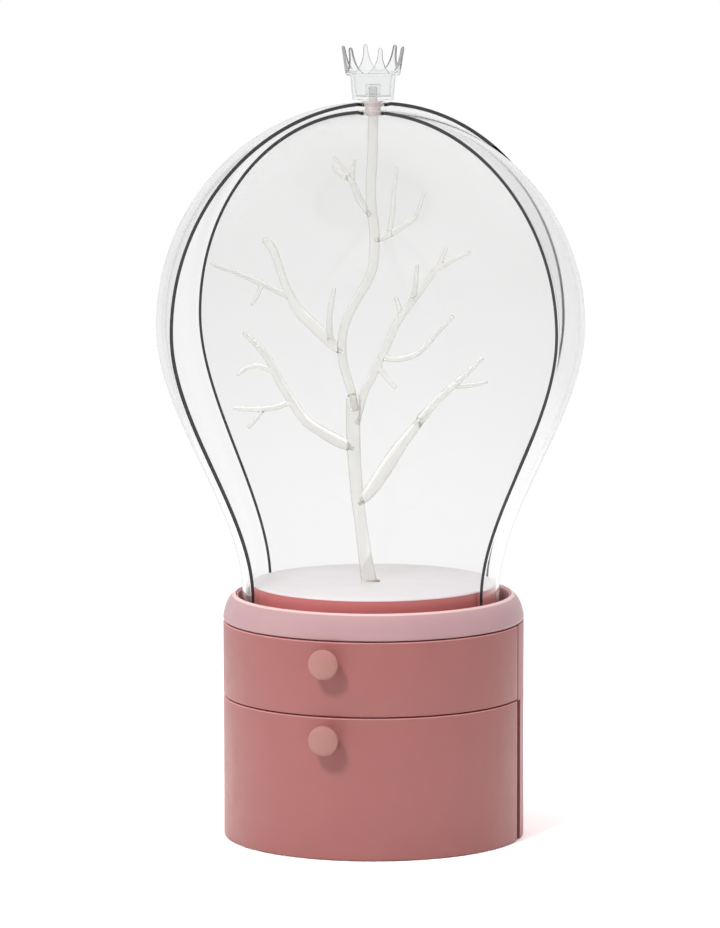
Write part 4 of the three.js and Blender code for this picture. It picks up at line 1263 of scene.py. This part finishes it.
class JBOX_OT_drawers(Operator):
    """Makes both drawers with their knobs"""

    bl_idname = "jbox.drawers"
    bl_label = "Drawers and knobs"

    def execute(self, context):
        rows = (
            ("lower", PLATE_TOP, DRUM_BOTTOM, LOWER_FRONT_TOP, SHELF_TOP - SHELF_THICKNESS),
            ("upper", SHELF_TOP, UPPER_FRONT_BOTTOM, UPPER_FRONT_TOP, DECK_BOTTOM),
        )
        for name, deck_top, bottom, top, ceiling in rows:
            place = middle(f"{name}_knob")
            foot = high(f"{name}_knob", Y)
            lay = Matrix.Translation((0, foot, place.z)) @ Matrix.Rotation(math.pi / 2, 4, "X")
            hole = disc(PILOT_RADIUS, -DRUM_RADIUS / 2, DRUM_RADIUS / 2, 0.0, PLUG_SEGMENTS)
            hole.transform(lay)
            body = f"{name}_tray"
            solid = combined(drawer(deck_top, bottom, top, ceiling), [hole], "DIFFERENCE")
            piece = finished(
                f"{name}_drawer_moulding", solid, "drum_plastic drum_band", body, "drawer",
                f"{name}_drawer")
            rounding = sizes().front_edge
            # Painted highlight: the up-facing faces of each front's rounded top edge take the
            # lighter band
            paint(piece, lambda face: (
                face.center.z > top - rounding and face.normal.z > BAND_HIGHLIGHT_SLANT
                and face.center.xy.length > DRUM_RADIUS - rounding))
            button = knob()
            button.transform(lay)
            finished(
                f"{name}_button_knob", button, "knob_plastic", body, "knob", f"{name}_knob")
        return {"FINISHED"}


# Screws

def screw_shape(length):
    """A pan-head screw with a cross recess and a cut thread, standing on its head"""
    core = SCREW_SHANK_RADIUS - THREAD_DEPTH
    shank = length - SCREW_HEAD_HEIGHT
    steps = round(shank / THREAD_PITCH * THREAD_STEPS)
    sides = [index / SCREW_SIDES for index in range(SCREW_SIDES)]
    root = core * SCREW_ROOT_SHARE
    rings = [[polar(root, 360 * side, SCREW_HEAD_HEIGHT / 2) for side in sides]]
    for step in range(steps + 1):
        height = SCREW_HEAD_HEIGHT + shank * step / steps
        taper = min(1.0, (steps - step) / THREAD_STEPS + SCREW_TIP_SHARE)
        points = []
        for side in sides:
            phase = (height / THREAD_PITCH - side) % 1
            ridge = THREAD_DEPTH * max(0.0, 1 - abs(phase - 0.5) * THREAD_SHARPNESS)
            points.append(polar((core + ridge) * taper, 360 * side, height))
        rings.append(points)
    head = turned([
        (0, 0, 0),
        (SCREW_HEAD_RADIUS, 0, SCREW_HEAD_DOME),
        (SCREW_HEAD_RADIUS, SCREW_HEAD_HEIGHT, SCREW_HEAD_EDGE),
        (0, SCREW_HEAD_HEIGHT, 0),
    ], "screw_steel", SCREW_HEAD_SEGMENTS)
    slots = [
        bar(0, width, -reach / 2, reach / 2, -OVERRUN, RECESS_DEPTH, 0.0)
        for width, reach in ((RECESS_LENGTH, RECESS_WIDTH), (RECESS_WIDTH, RECESS_LENGTH))
    ]
    return combined(combined(head, [loft(rings)], "UNION"), slots, "DIFFERENCE")


def screws_tree():
    """Stands a copy of one screw on each point"""
    name = "Screws on points"
    if name in bpy.data.node_groups:
        return bpy.data.node_groups[name]
    tree, given, result = new_group(name, "GeometryNodeTree", [
        ("INPUT", "Points", "Geometry", None),
        ("INPUT", "Screw", "Object", None),
        ("INPUT", "Tilt", "Rotation", None),
        ("INPUT", "Material", "Material", None),
        ("OUTPUT", "Geometry", "Geometry", None),
    ])
    shape = add(tree, "GeometryNodeObjectInfo", {"Object": given["Screw"]})
    copies = add(tree, "GeometryNodeInstanceOnPoints", {
        "Points": given["Points"],
        "Instance": shape.outputs["Geometry"],
        "Rotation": given["Tilt"],
    })
    return end_tree(tree, copies.outputs["Instances"], given, result)


def screws(nodes, tilt, seat_of):
    """All screws of one length and direction, as one mesh"""
    lowest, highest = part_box(nodes[0])
    length = max(highest.z - lowest.z, highest.y - lowest.y)
    template = holder(screw_shape(length))
    mesh = run_tree(new_mesh([seat_of(node) for node in nodes]), screws_tree(), {
        "Screw": template,
        "Tilt": (tilt, 0.0, 0.0),
        "Material": finish("screw_steel"),
    })
    bpy.data.objects.remove(template)
    return welded(mesh)


def seat_below(node):
    place = middle(node)
    return (place.x, place.y, low(node, Z))


def seat_behind(node):
    place = middle(node)
    return (place.x, high(node, Y), place.z)


class JBOX_OT_screws(Operator):
    """Makes every screw and the spindle's washer"""

    bl_idname = "jbox.screws"
    bl_label = "Screws"

    def execute(self, context):
        for name, nodes, body in (
                ("floor_screws", BASE_SCREWS, "base"),
                ("collar_screws", COVER_SCREWS, "base"),
                ("turntable_screw", ("spindle_screw",), "turntable")):
            mesh = screws(nodes, 0.0, seat_below)
            finished(name, mesh, "screw_steel", body, "steel", *nodes)
        for name in ("lower", "upper"):
            node = f"{name}_knob_screw"
            mesh = screws((node,), math.pi / 2, seat_behind)
            finished(f"{name}_drawer_screw", mesh, "screw_steel", f"{name}_tray", "steel", node)
        washer = ring(
            PILOT_RADIUS, high("spindle_washer", X), low("spindle_washer", Z),
            high("spindle_washer", Z), sizes().edge_round / 4, "screw_steel")
        finished("turntable_washer", washer, "screw_steel", "turntable", "steel", "spindle_washer")
        return {"FINISHED"}


# Turntable

class JBOX_OT_turntable(Operator):
    """Makes the platform with its skirt and spindle"""

    bl_idname = "jbox.turntable"
    bl_label = "Turntable"

    def execute(self, context):
        edge = sizes().edge_round
        skirt_bottom = GROOVE_FLOOR + SKIRT_GAP
        under = PLATFORM_TOP - PLATFORM_THICKNESS
        inside = PLATFORM_RADIUS - PLATFORM_WALL
        table = turned([
            (0, SPINDLE_BOTTOM, 0),
            (SPINDLE_RADIUS, SPINDLE_BOTTOM, edge),
            (SPINDLE_RADIUS, PLATFORM_HUB_BOTTOM, 0),
            (HUB_RADIUS, PLATFORM_HUB_BOTTOM, edge),
            (HUB_RADIUS, under, edge),
            (inside, under, edge),
            (inside, skirt_bottom, edge / 2),
            (PLATFORM_RADIUS, skirt_bottom, edge / 2),
            (PLATFORM_RADIUS, PLATFORM_TOP, sizes().platform_edge),
            (0, PLATFORM_TOP, 0),
        ], "drum_plastic")
        socket_bottom = PLATFORM_TOP - FOOT_PLUG_LENGTH - FIT_GAP
        cutters = [
            pillar(FOOT_PLUG_RADIUS + BORE_GAP, socket_bottom, PLATFORM_TOP + OVERRUN),
            pillar(PILOT_RADIUS, SPINDLE_BOTTOM - OVERRUN, SPINDLE_BORE_TOP),
        ]
        table = combined(table, cutters, "DIFFERENCE")
        piece = finished(
            "turntable_disc", table, "skirt_plastic platform_top", "turntable", "platform",
            "turntable_platform")
        # Painted highlight: the up-facing top takes the pale finish, the side keeps the
        # turntable's pink
        top_highlight_edge = PLATFORM_TOP - sizes().platform_edge
        paint(piece, lambda face: face.center.z > top_highlight_edge and face.normal.z > 0)
        return {"FINISHED"}


# Stand

# Edges of the stand that bend by more degrees than this stay sharp
STAND_SHARP = 50
ROUTE_STEP_SHARE = 3
SKIN_SMOOTHING = 0.5
SKIN_SMOOTHING_PASSES = 6


def limb_tree():
    """Round limbs along routes of points, each as thick as its points say, with round ends"""
    name = "Limbs"
    if name in bpy.data.node_groups:
        return bpy.data.node_groups[name]
    tree, given, result = new_group(name, "GeometryNodeTree", [
        ("INPUT", "Routes", "Geometry", None),
        ("INPUT", "Extra Girth", "Float", 0.0),
        ("INPUT", "Step", "Float", 0.0015),
        ("INPUT", "Sides", "Int", 20),
        ("INPUT", "Material", "Material", None),
        ("OUTPUT", "Geometry", "Geometry", None),
    ])
    girth = add(tree, "GeometryNodeInputNamedAttribute", {"Name": "girth"}, data_type="FLOAT")
    radius = add(tree, "ShaderNodeMath", {
        0: girth.outputs["Attribute"],
        1: given["Extra Girth"],
    }, operation="ADD")
    routes = add(tree, "GeometryNodeMeshToCurve", {"Mesh": given["Routes"]})
    smooth = add(tree, "GeometryNodeCurveSplineType", {
        "Curve": routes.outputs["Curve"],
    }, spline_type="CATMULL_ROM")
    path = add(tree, "GeometryNodeResampleCurve", {
        "Curve": smooth.outputs["Curve"],
        "Length": given["Step"],
    }, mode="LENGTH")
    circle = add(tree, "GeometryNodeCurvePrimitiveCircle", {
        "Resolution": given["Sides"],
        "Radius": 1.0,
    }, mode="RADIUS")
    tubes = add(tree, "GeometryNodeCurveToMesh", {
        "Curve": path.outputs["Curve"],
        "Profile Curve": circle.outputs["Curve"],
        "Scale": radius.outputs[0],
        "Fill Caps": True,
    })
    ends = add(tree, "GeometryNodeCurveEndpointSelection", {"Start Size": 1, "End Size": 1})
    ball = add(tree, "GeometryNodeMeshIcoSphere", {"Radius": 1.0, "Subdivisions": 3})
    balls = add(tree, "GeometryNodeInstanceOnPoints", {
        "Points": path.outputs["Curve"],
        "Selection": ends.outputs["Selection"],
        "Instance": ball.outputs["Mesh"],
        "Scale": radius.outputs[0],
    })
    whole = add(tree, "GeometryNodeJoinGeometry", {"Geometry": tubes.outputs["Mesh"]})
    tree.links.new(balls.outputs["Instances"], whole.inputs["Geometry"])
    return end_tree(tree, whole.outputs["Geometry"], given, result)


def stand_place(side, depth, height):
    """A point of the stand from its shares"""
    spot = Vector((side * STAND_REACH, depth * STAND_REACH, height * STAND_HEIGHT))
    spot.rotate(Matrix.Rotation(math.radians(STAND_BEARING), 3, "Z"))
    return spot + Vector((0, 0, PLATFORM_TOP))


def limbs(routes, extra=0.0):
    """One closed skin over all the limbs of a piece, smoothed where they meet"""
    points, edges, girths = [], [], []
    for route in routes:
        first = len(points)
        for side, depth, height, girth in route:
            points.append(stand_place(side, depth, height))
            girths.append(girth * STAND_GIRTH)
        edges += [(index, index + 1) for index in range(first, len(points) - 1)]
    mesh = new_mesh(points, edges)
    mesh.attributes.new("girth", "FLOAT", "POINT").data.foreach_set("value", girths)
    skin = run_tree(mesh, limb_tree(), {
        "Extra Girth": extra,
        "Step": sizes().skin_step * ROUTE_STEP_SHARE,
        "Material": finish("stand_milky"),
    })
    made = holder(skin)
    modify(made, "REMESH", mode="VOXEL", voxel_size=sizes().skin_step)
    modify(made, "SMOOTH", factor=SKIN_SMOOTHING, iterations=SKIN_SMOOTHING_PASSES)
    return welded(taken(made))


def plug(route, radius, length, run_back):
    """A straight plug from the first point of a route towards its second"""
    start, after = (stand_place(*row[:3]) for row in route[:2])
    mesh = disc(radius, -run_back, length, radius / 4, PLUG_SEGMENTS)
    turn = (after - start).to_track_quat("Z", "Y").to_matrix().to_4x4()
    mesh.transform(Matrix.Translation(start) @ turn)
    return mesh


def socket(route):
    return plug(route, BRANCH_PLUG_RADIUS + BORE_GAP, BRANCH_PLUG_LENGTH, FIT_GAP)


def lower_trunk():
    under = PLATFORM_TOP + FIT_GAP
    cutters = [disc(STAND_REACH, PLATFORM_TOP - STAND_HEIGHT, under)]
    trunk = combined(limbs([LOWER_TRUNK_SHARES]), cutters, "DIFFERENCE")
    foot = pillar(
        FOOT_PLUG_RADIUS, PLATFORM_TOP - FOOT_PLUG_LENGTH, PLATFORM_TOP + FOOT_PLUG_STANDOUT)
    holes = [socket(BRANCH_SHARES[name][0]) for name in LOWER_TRUNK_BRANCHES]
    holes.append(plug(
        UPPER_TRUNK_SHARES, TRUNK_PLUG_RADIUS + BORE_GAP, TRUNK_PLUG_LENGTH + STAND_GIRTH,
        TRUNK_PLUG_LENGTH + FIT_GAP))
    return combined(combined(trunk, [foot], "UNION"), holes, "DIFFERENCE")


def upper_trunk():
    shoulder = PLATFORM_TOP + STAND_HEIGHT
    cutters = [
        disc(STAND_REACH, shoulder, shoulder + STAND_HEIGHT),
        limbs([LOWER_TRUNK_SHARES], FIT_GAP),
    ]
    trunk = combined(limbs([UPPER_TRUNK_SHARES]), cutters, "DIFFERENCE")
    joined = [
        pillar(TIP_PIN_RADIUS, shoulder - STAND_GIRTH, POST_BORE_TOP - FIT_GAP),
        plug(UPPER_TRUNK_SHARES, TRUNK_PLUG_RADIUS, TRUNK_PLUG_LENGTH, TRUNK_PLUG_LENGTH),
    ]
    holes = [
        socket(routes[0]) for name, routes in BRANCH_SHARES.items()
        if name not in LOWER_TRUNK_BRANCHES
    ]
    return combined(combined(trunk, joined, "UNION"), holes, "DIFFERENCE")


class JBOX_OT_stand(Operator):
    """Makes the two trunks and the six branches that plug into them"""

    bl_idname = "jbox.stand"
    bl_label = "Stand"

    def execute(self, context):
        for name, shape, node in (
                ("trunk_lower_half", lower_trunk(), "lower_trunk"),
                ("trunk_upper_half", upper_trunk(), "upper_trunk")):
            finished(name, shape, "stand_milky", "turntable", "stand", node, sharp=STAND_SHARP)
        for name, routes in BRANCH_SHARES.items():
            trunks = [
                limbs([shares], FIT_GAP) for shares in (LOWER_TRUNK_SHARES, UPPER_TRUNK_SHARES)]
            clear_part = combined(limbs(routes), trunks, "DIFFERENCE")
            peg = plug(routes[0], BRANCH_PLUG_RADIUS, BRANCH_PLUG_LENGTH, 0)
            branch = combined(clear_part, [peg], "UNION")
            finished(
                f"{name}_moulding", branch, "stand_milky", "turntable", "stand", name,
                sharp=STAND_SHARP)
        return {"FINISHED"}


# Crown and bushing

CROWN_WALL_STEPS = 14

# Angles round a prong's tip and through the valley beside it
TIP_ANGLES = range(-75, 76, 15)
VALLEY_ANGLES = range(-88, 89, 8)

# The prongs' crest, in grey painted shade, takes the faces whose normals point in or out by less
# than this
CREST_SHADE_SLANT = 0.7


def prong_columns():
    """Bearings round the crown, each with the depth of the rim below the tips there"""
    pitch = 360 / PRONG_COUNT
    tip = PRONG_TIP_RADIUS
    chord = 2 * CROWN_TIP_RADIUS * math.sin(math.radians(pitch / 2))
    half = chord / 2 - tip
    depth = CROWN_TOP - CROWN_BOTTOM - CUP_HEIGHT - VALLEY_RISE
    columns = []
    for prong in range(PRONG_COUNT):
        centre = PRONG_BEARING + prong * pitch
        for angle in TIP_ANGLES:
            across = tip * math.sin(math.radians(angle))
            drop = tip * (1 - math.cos(math.radians(angle)))
            columns.append((centre + math.degrees(across / CROWN_TIP_RADIUS), drop))
        for angle in VALLEY_ANGLES:
            across = half * math.sin(math.radians(angle))
            drop = tip + (depth - tip) * math.cos(math.radians(angle))
            turn = math.degrees(math.asin(across / CROWN_TIP_RADIUS))
            columns.append((centre + pitch / 2 + turn, drop))
    return columns


def crown_shape():
    """A cup on a hollow post under a flared ring of prongs, as one skin of upright columns"""
    floor_top = CROWN_BOTTOM + CUP_FLOOR
    step = CROWN_BOTTOM + CUP_HEIGHT
    post_top = floor_top + POST_HEIGHT
    bore = TIP_PIN_RADIUS + BORE_GAP
    edge = sizes().edge_round
    lip = CROWN_WALL / 2
    lower = rounded([
        (0, post_top, 0),
        (0, POST_BORE_TOP, 0),
        (bore, POST_BORE_TOP, 0),
        (bore, CROWN_BOTTOM, edge / 3),
        (CUP_FOOT_RADIUS, CROWN_BOTTOM, edge),
        (CUP_TOP_RADIUS, step, edge / 3),
        (CROWN_FOOT_RADIUS, step, edge),
        (CROWN_FOOT_RADIUS, step + OVERRUN, 0),
    ])[:-1]
    inner = rounded([
        (CROWN_FOOT_RADIUS - CROWN_WALL, step + OVERRUN + CROWN_WALL, 0),
        (CROWN_FOOT_RADIUS - CROWN_WALL, step + CROWN_WALL, edge / 3),
        (CUP_TOP_RADIUS - CUP_WALL, step + CROWN_WALL, edge / 2),
        (CUP_FOOT_RADIUS - CUP_WALL, floor_top, edge),
        (POST_RADIUS, floor_top, edge),
        (POST_RADIUS, post_top, edge / 2),
        (0, post_top, 0),
    ])[1:-1]

    def flare(height):
        share = (height - step) / (CROWN_TOP - step)
        return CROWN_FOOT_RADIUS + (CROWN_TIP_RADIUS - CROWN_FOOT_RADIUS) * share

    def heights(start, rim):
        steps = range(CROWN_WALL_STEPS + 1)
        return [start + (rim - start) * index / CROWN_WALL_STEPS for index in steps]

    rings = []
    for bearing, drop in prong_columns():
        rim = CROWN_TOP - drop - lip
        outside = [(flare(height), height) for height in heights(step + edge, rim)]
        crest = arc((flare(rim) - lip, rim), lip, lip, 0, 180, 8)[1:-1]
        rising = heights(step + CROWN_WALL + edge / 3, rim)
        inside = [(flare(height) - CROWN_WALL, height) for height in reversed(rising)]
        column = lower + outside + crest + inside + inner
        rings.append([polar(radius, bearing, height) for radius, height in column])
    return loft(rings, is_ring=True)


class JBOX_OT_crown(Operator):
    """Makes the crown and the bushing under it"""

    bl_idname = "jbox.crown"
    bl_label = "Crown and bushing"

    def execute(self, context):
        piece = finished(
            "crown_cup", crown_shape(), "crown_clear crown_edge", "turntable", "crown", "crown")
        # Painted shade: the prongs' crests take the grey edge finish
        prongs_bottom = CROWN_BOTTOM + CUP_HEIGHT + 2 * CROWN_WALL
        paint(piece, lambda face: (
            face.center.z > prongs_bottom and face.normal.z > 0
            and abs(face.normal.xy.dot(face.center.xy.normalized())) < CREST_SHADE_SLANT))
        bore = TIP_PIN_RADIUS + BORE_GAP
        edge = sizes().edge_round / 3
        bushing = turned([
            (bore, BUSHING_BOTTOM, 0),
            (BUSHING_NECK_RADIUS, BUSHING_BOTTOM, edge),
            (BUSHING_NECK_RADIUS, BUSHING_BOTTOM + BUSHING_NECK_LENGTH, edge),
            (BUSHING_RADIUS, BUSHING_TOP - BUSHING_FLANGE_HEIGHT, edge),
            (BUSHING_RADIUS, BUSHING_TOP, edge),
            (bore, BUSHING_TOP, 0),
        ], "bushing_plastic", sizes().small_segments)
        finished(
            "crown_bushing", bushing, "bushing_plastic", "turntable", "bushing", "dome_bushing")
        return {"FINISHED"}


# Dome

# Clear plastic, and near-black painted shade for the cut edges
SHELL_FINISHES = "dome_clear dome_edge"
FLANK_STEPS = 48
CROWN_STEPS = 64
EYE_STEPS = 4
CUT_EDGE_ANGLE = 60

# The cut edge that stays clear below a height, and the two that take the near-black painted shade
# across their rounding above one
REAR_EDGE_BEARING = 130.5
REAR_EDGE_ALIGNMENT = 0.99
REAR_EDGE_CLEAR_TOP = 0.365
RIGHT_EDGE_BEARINGS = (75, 130.5)
RIGHT_EDGE_BROAD_BOTTOM = 0.36


def shell_outline(radius, apex, neck_radius, hole_radius, eye_radius):
    """Neck, flank and crown of a shell's outer face, with the place where its eye begins"""
    flank = bezier([
        (neck_radius, NECK_TOP),
        (neck_radius + NECK_FLARE, NECK_TOP + NECK_HANDLE),
        (radius, EQUATOR - BULGE_HANDLE),
        (radius, EQUATOR),
    ], FLANK_STEPS)
    eye_angle = math.degrees(math.acos(eye_radius / radius))
    hole_angle = math.degrees(math.acos(hole_radius / radius))
    crown = arc((0, EQUATOR), radius, apex - EQUATOR, 0, eye_angle, CROWN_STEPS)
    eye = arc((0, EQUATOR), radius, apex - EQUATOR, eye_angle, hole_angle, EYE_STEPS)
    return [(neck_radius, SHELL_BOTTOM), *flank, *crown[1:]], eye


def dome_shell(name, body, node, radius, apex, neck_radius, hole, eye, bearing):
    """Half a dome with a whole eye at its top, with near-black painted shade along its cut edges
    """
    outline, eye_outline = shell_outline(radius, apex, neck_radius, hole, eye)
    half = sizes().turn_segments // 2 + 1
    sheet = swept(
        outline + eye_outline[1:], "dome_clear", half, bearing - 90, 180.0, is_open=True)
    eye_half = swept(eye_outline, "dome_clear", half, bearing + 90, 180.0, is_open=True)
    work = bmesh.new()
    work.from_mesh(sheet)
    work.from_mesh(eye_half)
    bmesh.ops.remove_doubles(work, verts=work.verts, dist=WELD_DISTANCE * 10)
    bmesh.ops.recalc_face_normals(work, faces=work.faces)
    side = max(work.faces, key=lambda face: face.calc_center_median().xy.length)
    if side.normal.dot(side.calc_center_median() * Vector((1, 1, 0))) < 0:
        bmesh.ops.reverse_faces(work, faces=work.faces)
    work.to_mesh(sheet)
    work.free()
    give_finishes(sheet, SHELL_FINISHES)
    made = holder(sheet)
    # The rims that Solidify makes take the second finish, the near-black painted shade
    modify(made, "SOLIDIFY", thickness=DOME_WALL, offset=-1, material_offset_rim=1)
    modify(
        made, "BEVEL", width=sizes().shell_edge, segments=2, material=0,
        angle_limit=math.radians(CUT_EDGE_ANGLE))
    mesh = taken(made)
    rear_edge = polar(1, REAR_EDGE_BEARING, 0).xy
    # Above a height, these cut edges take the painted shade across their whole rounding
    broad_shade_edges = [edge for edge in RIGHT_EDGE_BEARINGS if edge in (bearing - 90, bearing + 90)]
    for face in mesh.polygons:
        spot = face.center.xy
        is_rear = spot.normalized().dot(rear_edge) > REAR_EDGE_ALIGNMENT
        if face.material_index == 1 and is_rear and face.center.z < REAR_EDGE_CLEAR_TOP:
            face.material_index = 0
        if face.center.z <= RIGHT_EDGE_BROAD_BOTTOM:
            continue
        for edge in broad_shade_edges:
            off_plane = abs(polar(1, edge + 90, 0).xy.dot(spot))
            if off_plane < sizes().shell_edge and spot.dot(polar(1, edge, 0).xy) > eye:
                face.material_index = 1
    chosen = [
        face.material_index if face.center.xy.length > eye else 0 for face in mesh.polygons]
    piece = finished(name, mesh, SHELL_FINISHES, body, "dome", node)
    piece.data.polygons.foreach_set("material_index", chosen)
    return piece


class JBOX_OT_dome(Operator):
    """Makes the two half domes"""

    bl_idname = "jbox.dome"
    bl_label = "Dome shells"

    def execute(self, context):
        dome_shell(
            "outer_half_dome", "outer_shell", "outer_dome_shell", DOME_RADIUS, OUTER_APEX,
            OUTER_NECK_RADIUS, OUTER_HOLE_RADIUS, OUTER_EYE_RADIUS, OUTER_SHELL_BEARING)
        dome_shell(
            "inner_half_dome", "inner_shell", "inner_dome_shell",
            DOME_RADIUS - DOME_WALL - SHELL_GAP, INNER_APEX, INNER_NECK_RADIUS,
            INNER_HOLE_RADIUS, INNER_EYE_RADIUS, INNER_SHELL_BEARING)
        return {"FINISHED"}


# Stage

FLOOR_REACH = 12.0
FLOOR_CLEAR_RADIUS = 0.3
FLOOR_BLEND_RADIUS = 0.9
FLOOR_COLOUR = (0.85, 0.85, 0.85, 1)
FLOOR_SEEN_COLOUR = (1.55, 1.55, 1.55, 1)
WHITE = (1, 1, 1, 1)

# Name, bearing from the camera, height, distance, width, depth, power in watts
LAMPS = (
    ("key_lamp", -29, 1.25, 1.3, 0.32, 0.32, 14.7),
    ("left_lamp", -92, 1.3, 1.5, 1.2, 1.5, 6.5),
    ("right_lamp", 96, 1.3, 1.5, 0.6, 1.5, 6.3),
    ("top_lamp", 0, 2.2, 0.2, 2.0, 2.0, 12.0),
    ("rear_lamp", 175, 1.2, 1.6, 1.6, 1.2, 9.0),
)


def seen_directly(tree):
    """1 for rays from the camera, from gloss and through clear pieces"""
    path = add(tree, "ShaderNodeLightPath")
    names = ("Is Camera Ray", "Is Glossy Ray", "Is Transmission Ray")
    camera, glossy, through = (path.outputs[name] for name in names)
    return math_node(tree, "MAXIMUM", math_node(tree, "MAXIMUM", camera, glossy), through)


def floor_material():
    """Pale floor that keeps the object's shadow and runs out into white"""
    made, tree, shader = new_material("pale_floor")
    away = add(tree, "ShaderNodeVectorMath", {0: object_place(tree)}, operation="LENGTH")
    far = ranged(tree, away.outputs["Value"], 0.0, 1.0, FLOOR_CLEAR_RADIUS, FLOOR_BLEND_RADIUS)
    seen = seen_directly(tree)
    fill(tree, shader, {
        "Base Color": blended(tree, seen, FLOOR_COLOUR, FLOOR_SEEN_COLOUR),
        "Roughness": 0.9,
        "Specular IOR Level": 0.0,
    })
    white = add(tree, "ShaderNodeEmission", {"Color": WHITE, "Strength": 1.0})
    share = math_node(tree, "MULTIPLY", far, seen)
    mixed_surface(
        tree, "Material Output", share, shader.outputs["BSDF"], white.outputs["Emission"])
    return made


def light_world(strength):
    world = bpy.data.worlds.new("pale_world")
    bpy.context.scene.world = world
    world.use_nodes = True
    tree = world.node_tree
    ambient = tree.nodes["Background"]
    fill(tree, ambient, {"Color": WHITE, "Strength": strength})
    seen = add(tree, "ShaderNodeBackground", {"Color": WHITE, "Strength": 1.0})
    mixed_surface(
        tree, "World Output", seen_directly(tree), ambient.outputs[0], seen.outputs[0])


def camera_place(stage, bearing, distance, height):
    angle = stage.azimuth + math.radians(bearing)
    return Vector((math.sin(angle) * distance, -math.cos(angle) * distance, height))


class JBOX_OT_stage(Operator):
    """Makes the floor, the light and the camera"""

    bl_idname = "jbox.stage"
    bl_label = "Stage"

    def execute(self, context):
        stage = context.scene.jewelry_box_stage
        corners = [(x * FLOOR_REACH, y * FLOOR_REACH, 0)
                   for x, y in ((-1, -1), (1, -1), (1, 1), (-1, 1))]
        mesh = new_mesh(corners, faces=[(0, 1, 2, 3)])
        mesh.materials.append(floor_material())
        new_object("floor", mesh)
        light_world(stage.ambient)
        target = (CAD_BOUNDS[0] + CAD_BOUNDS[1]) / 2
        for name, bearing, height, distance, width, depth, power in LAMPS:
            lamp = bpy.data.lights.new(name, "AREA")
            lamp.shape = "RECTANGLE"
            lamp.size, lamp.size_y = width, depth
            lamp.energy = power * stage.lamp_strength
            made = new_object(name, lamp)
            made.location = camera_place(stage, bearing, distance, height)
            made.rotation_euler = (target - made.location).to_track_quat("-Z", "Y").to_euler()
            made.visible_glossy = made.visible_transmission = False
        lens = bpy.data.cameras.new("camera")
        lens.lens = stage.lens
        camera = new_object("camera", lens)
        yaw = Matrix.Rotation(stage.azimuth + stage.turn, 4, "Z")
        pitch = Matrix.Rotation(math.pi / 2 - stage.pitch, 4, "X")
        roll = Matrix.Rotation(stage.roll, 4, "Z")
        place = Matrix.Translation(camera_place(stage, 0, stage.distance, stage.height))
        camera.matrix_world = place @ yaw @ pitch @ roll
        context.scene.camera = camera
        context.scene.view_settings.view_transform = "Standard"
        return {"FINISHED"}


# Panel and registration

PIECES = (
    JBOX_OT_drum, JBOX_OT_cover, JBOX_OT_drawers, JBOX_OT_screws, JBOX_OT_turntable,
    JBOX_OT_stand, JBOX_OT_crown, JBOX_OT_dome, JBOX_OT_stage,
)
SETTINGS = {
    "jewelry_box_sizes": JewelryBoxSizes,
    "jewelry_box_colours": JewelryBoxColours,
    "jewelry_box_stage": JewelryBoxStage,
}


class JBOX_PT_pieces(Panel):
    """Settings and one button for each group of pieces"""

    bl_idname = "JBOX_PT_pieces"
    bl_label = "Jewelry box"
    bl_space_type = "VIEW_3D"
    bl_region_type = "UI"
    bl_category = "Jewelry box"

    def draw(self, context):
        for name, group in SETTINGS.items():
            column = self.layout.column(align=True)
            for setting in group.__annotations__:
                column.prop(getattr(context.scene, name), setting)
        for operator in PIECES:
            self.layout.operator(operator.bl_idname)


def register():
    for made in (*SETTINGS.values(), *PIECES, JBOX_PT_pieces):
        bpy.utils.register_class(made)
    for name, group in SETTINGS.items():
        setattr(bpy.types.Scene, name, PointerProperty(type=group))


def unregister():
    for name in SETTINGS:
        delattr(bpy.types.Scene, name)
    for made in reversed((*SETTINGS.values(), *PIECES, JBOX_PT_pieces)):
        bpy.utils.unregister_class(made)


def main():
    register()
    for operator in PIECES:
        group, name = operator.bl_idname.split(".")
        getattr(getattr(bpy.ops, group), name)()


if __name__ == "__main__":
    main()
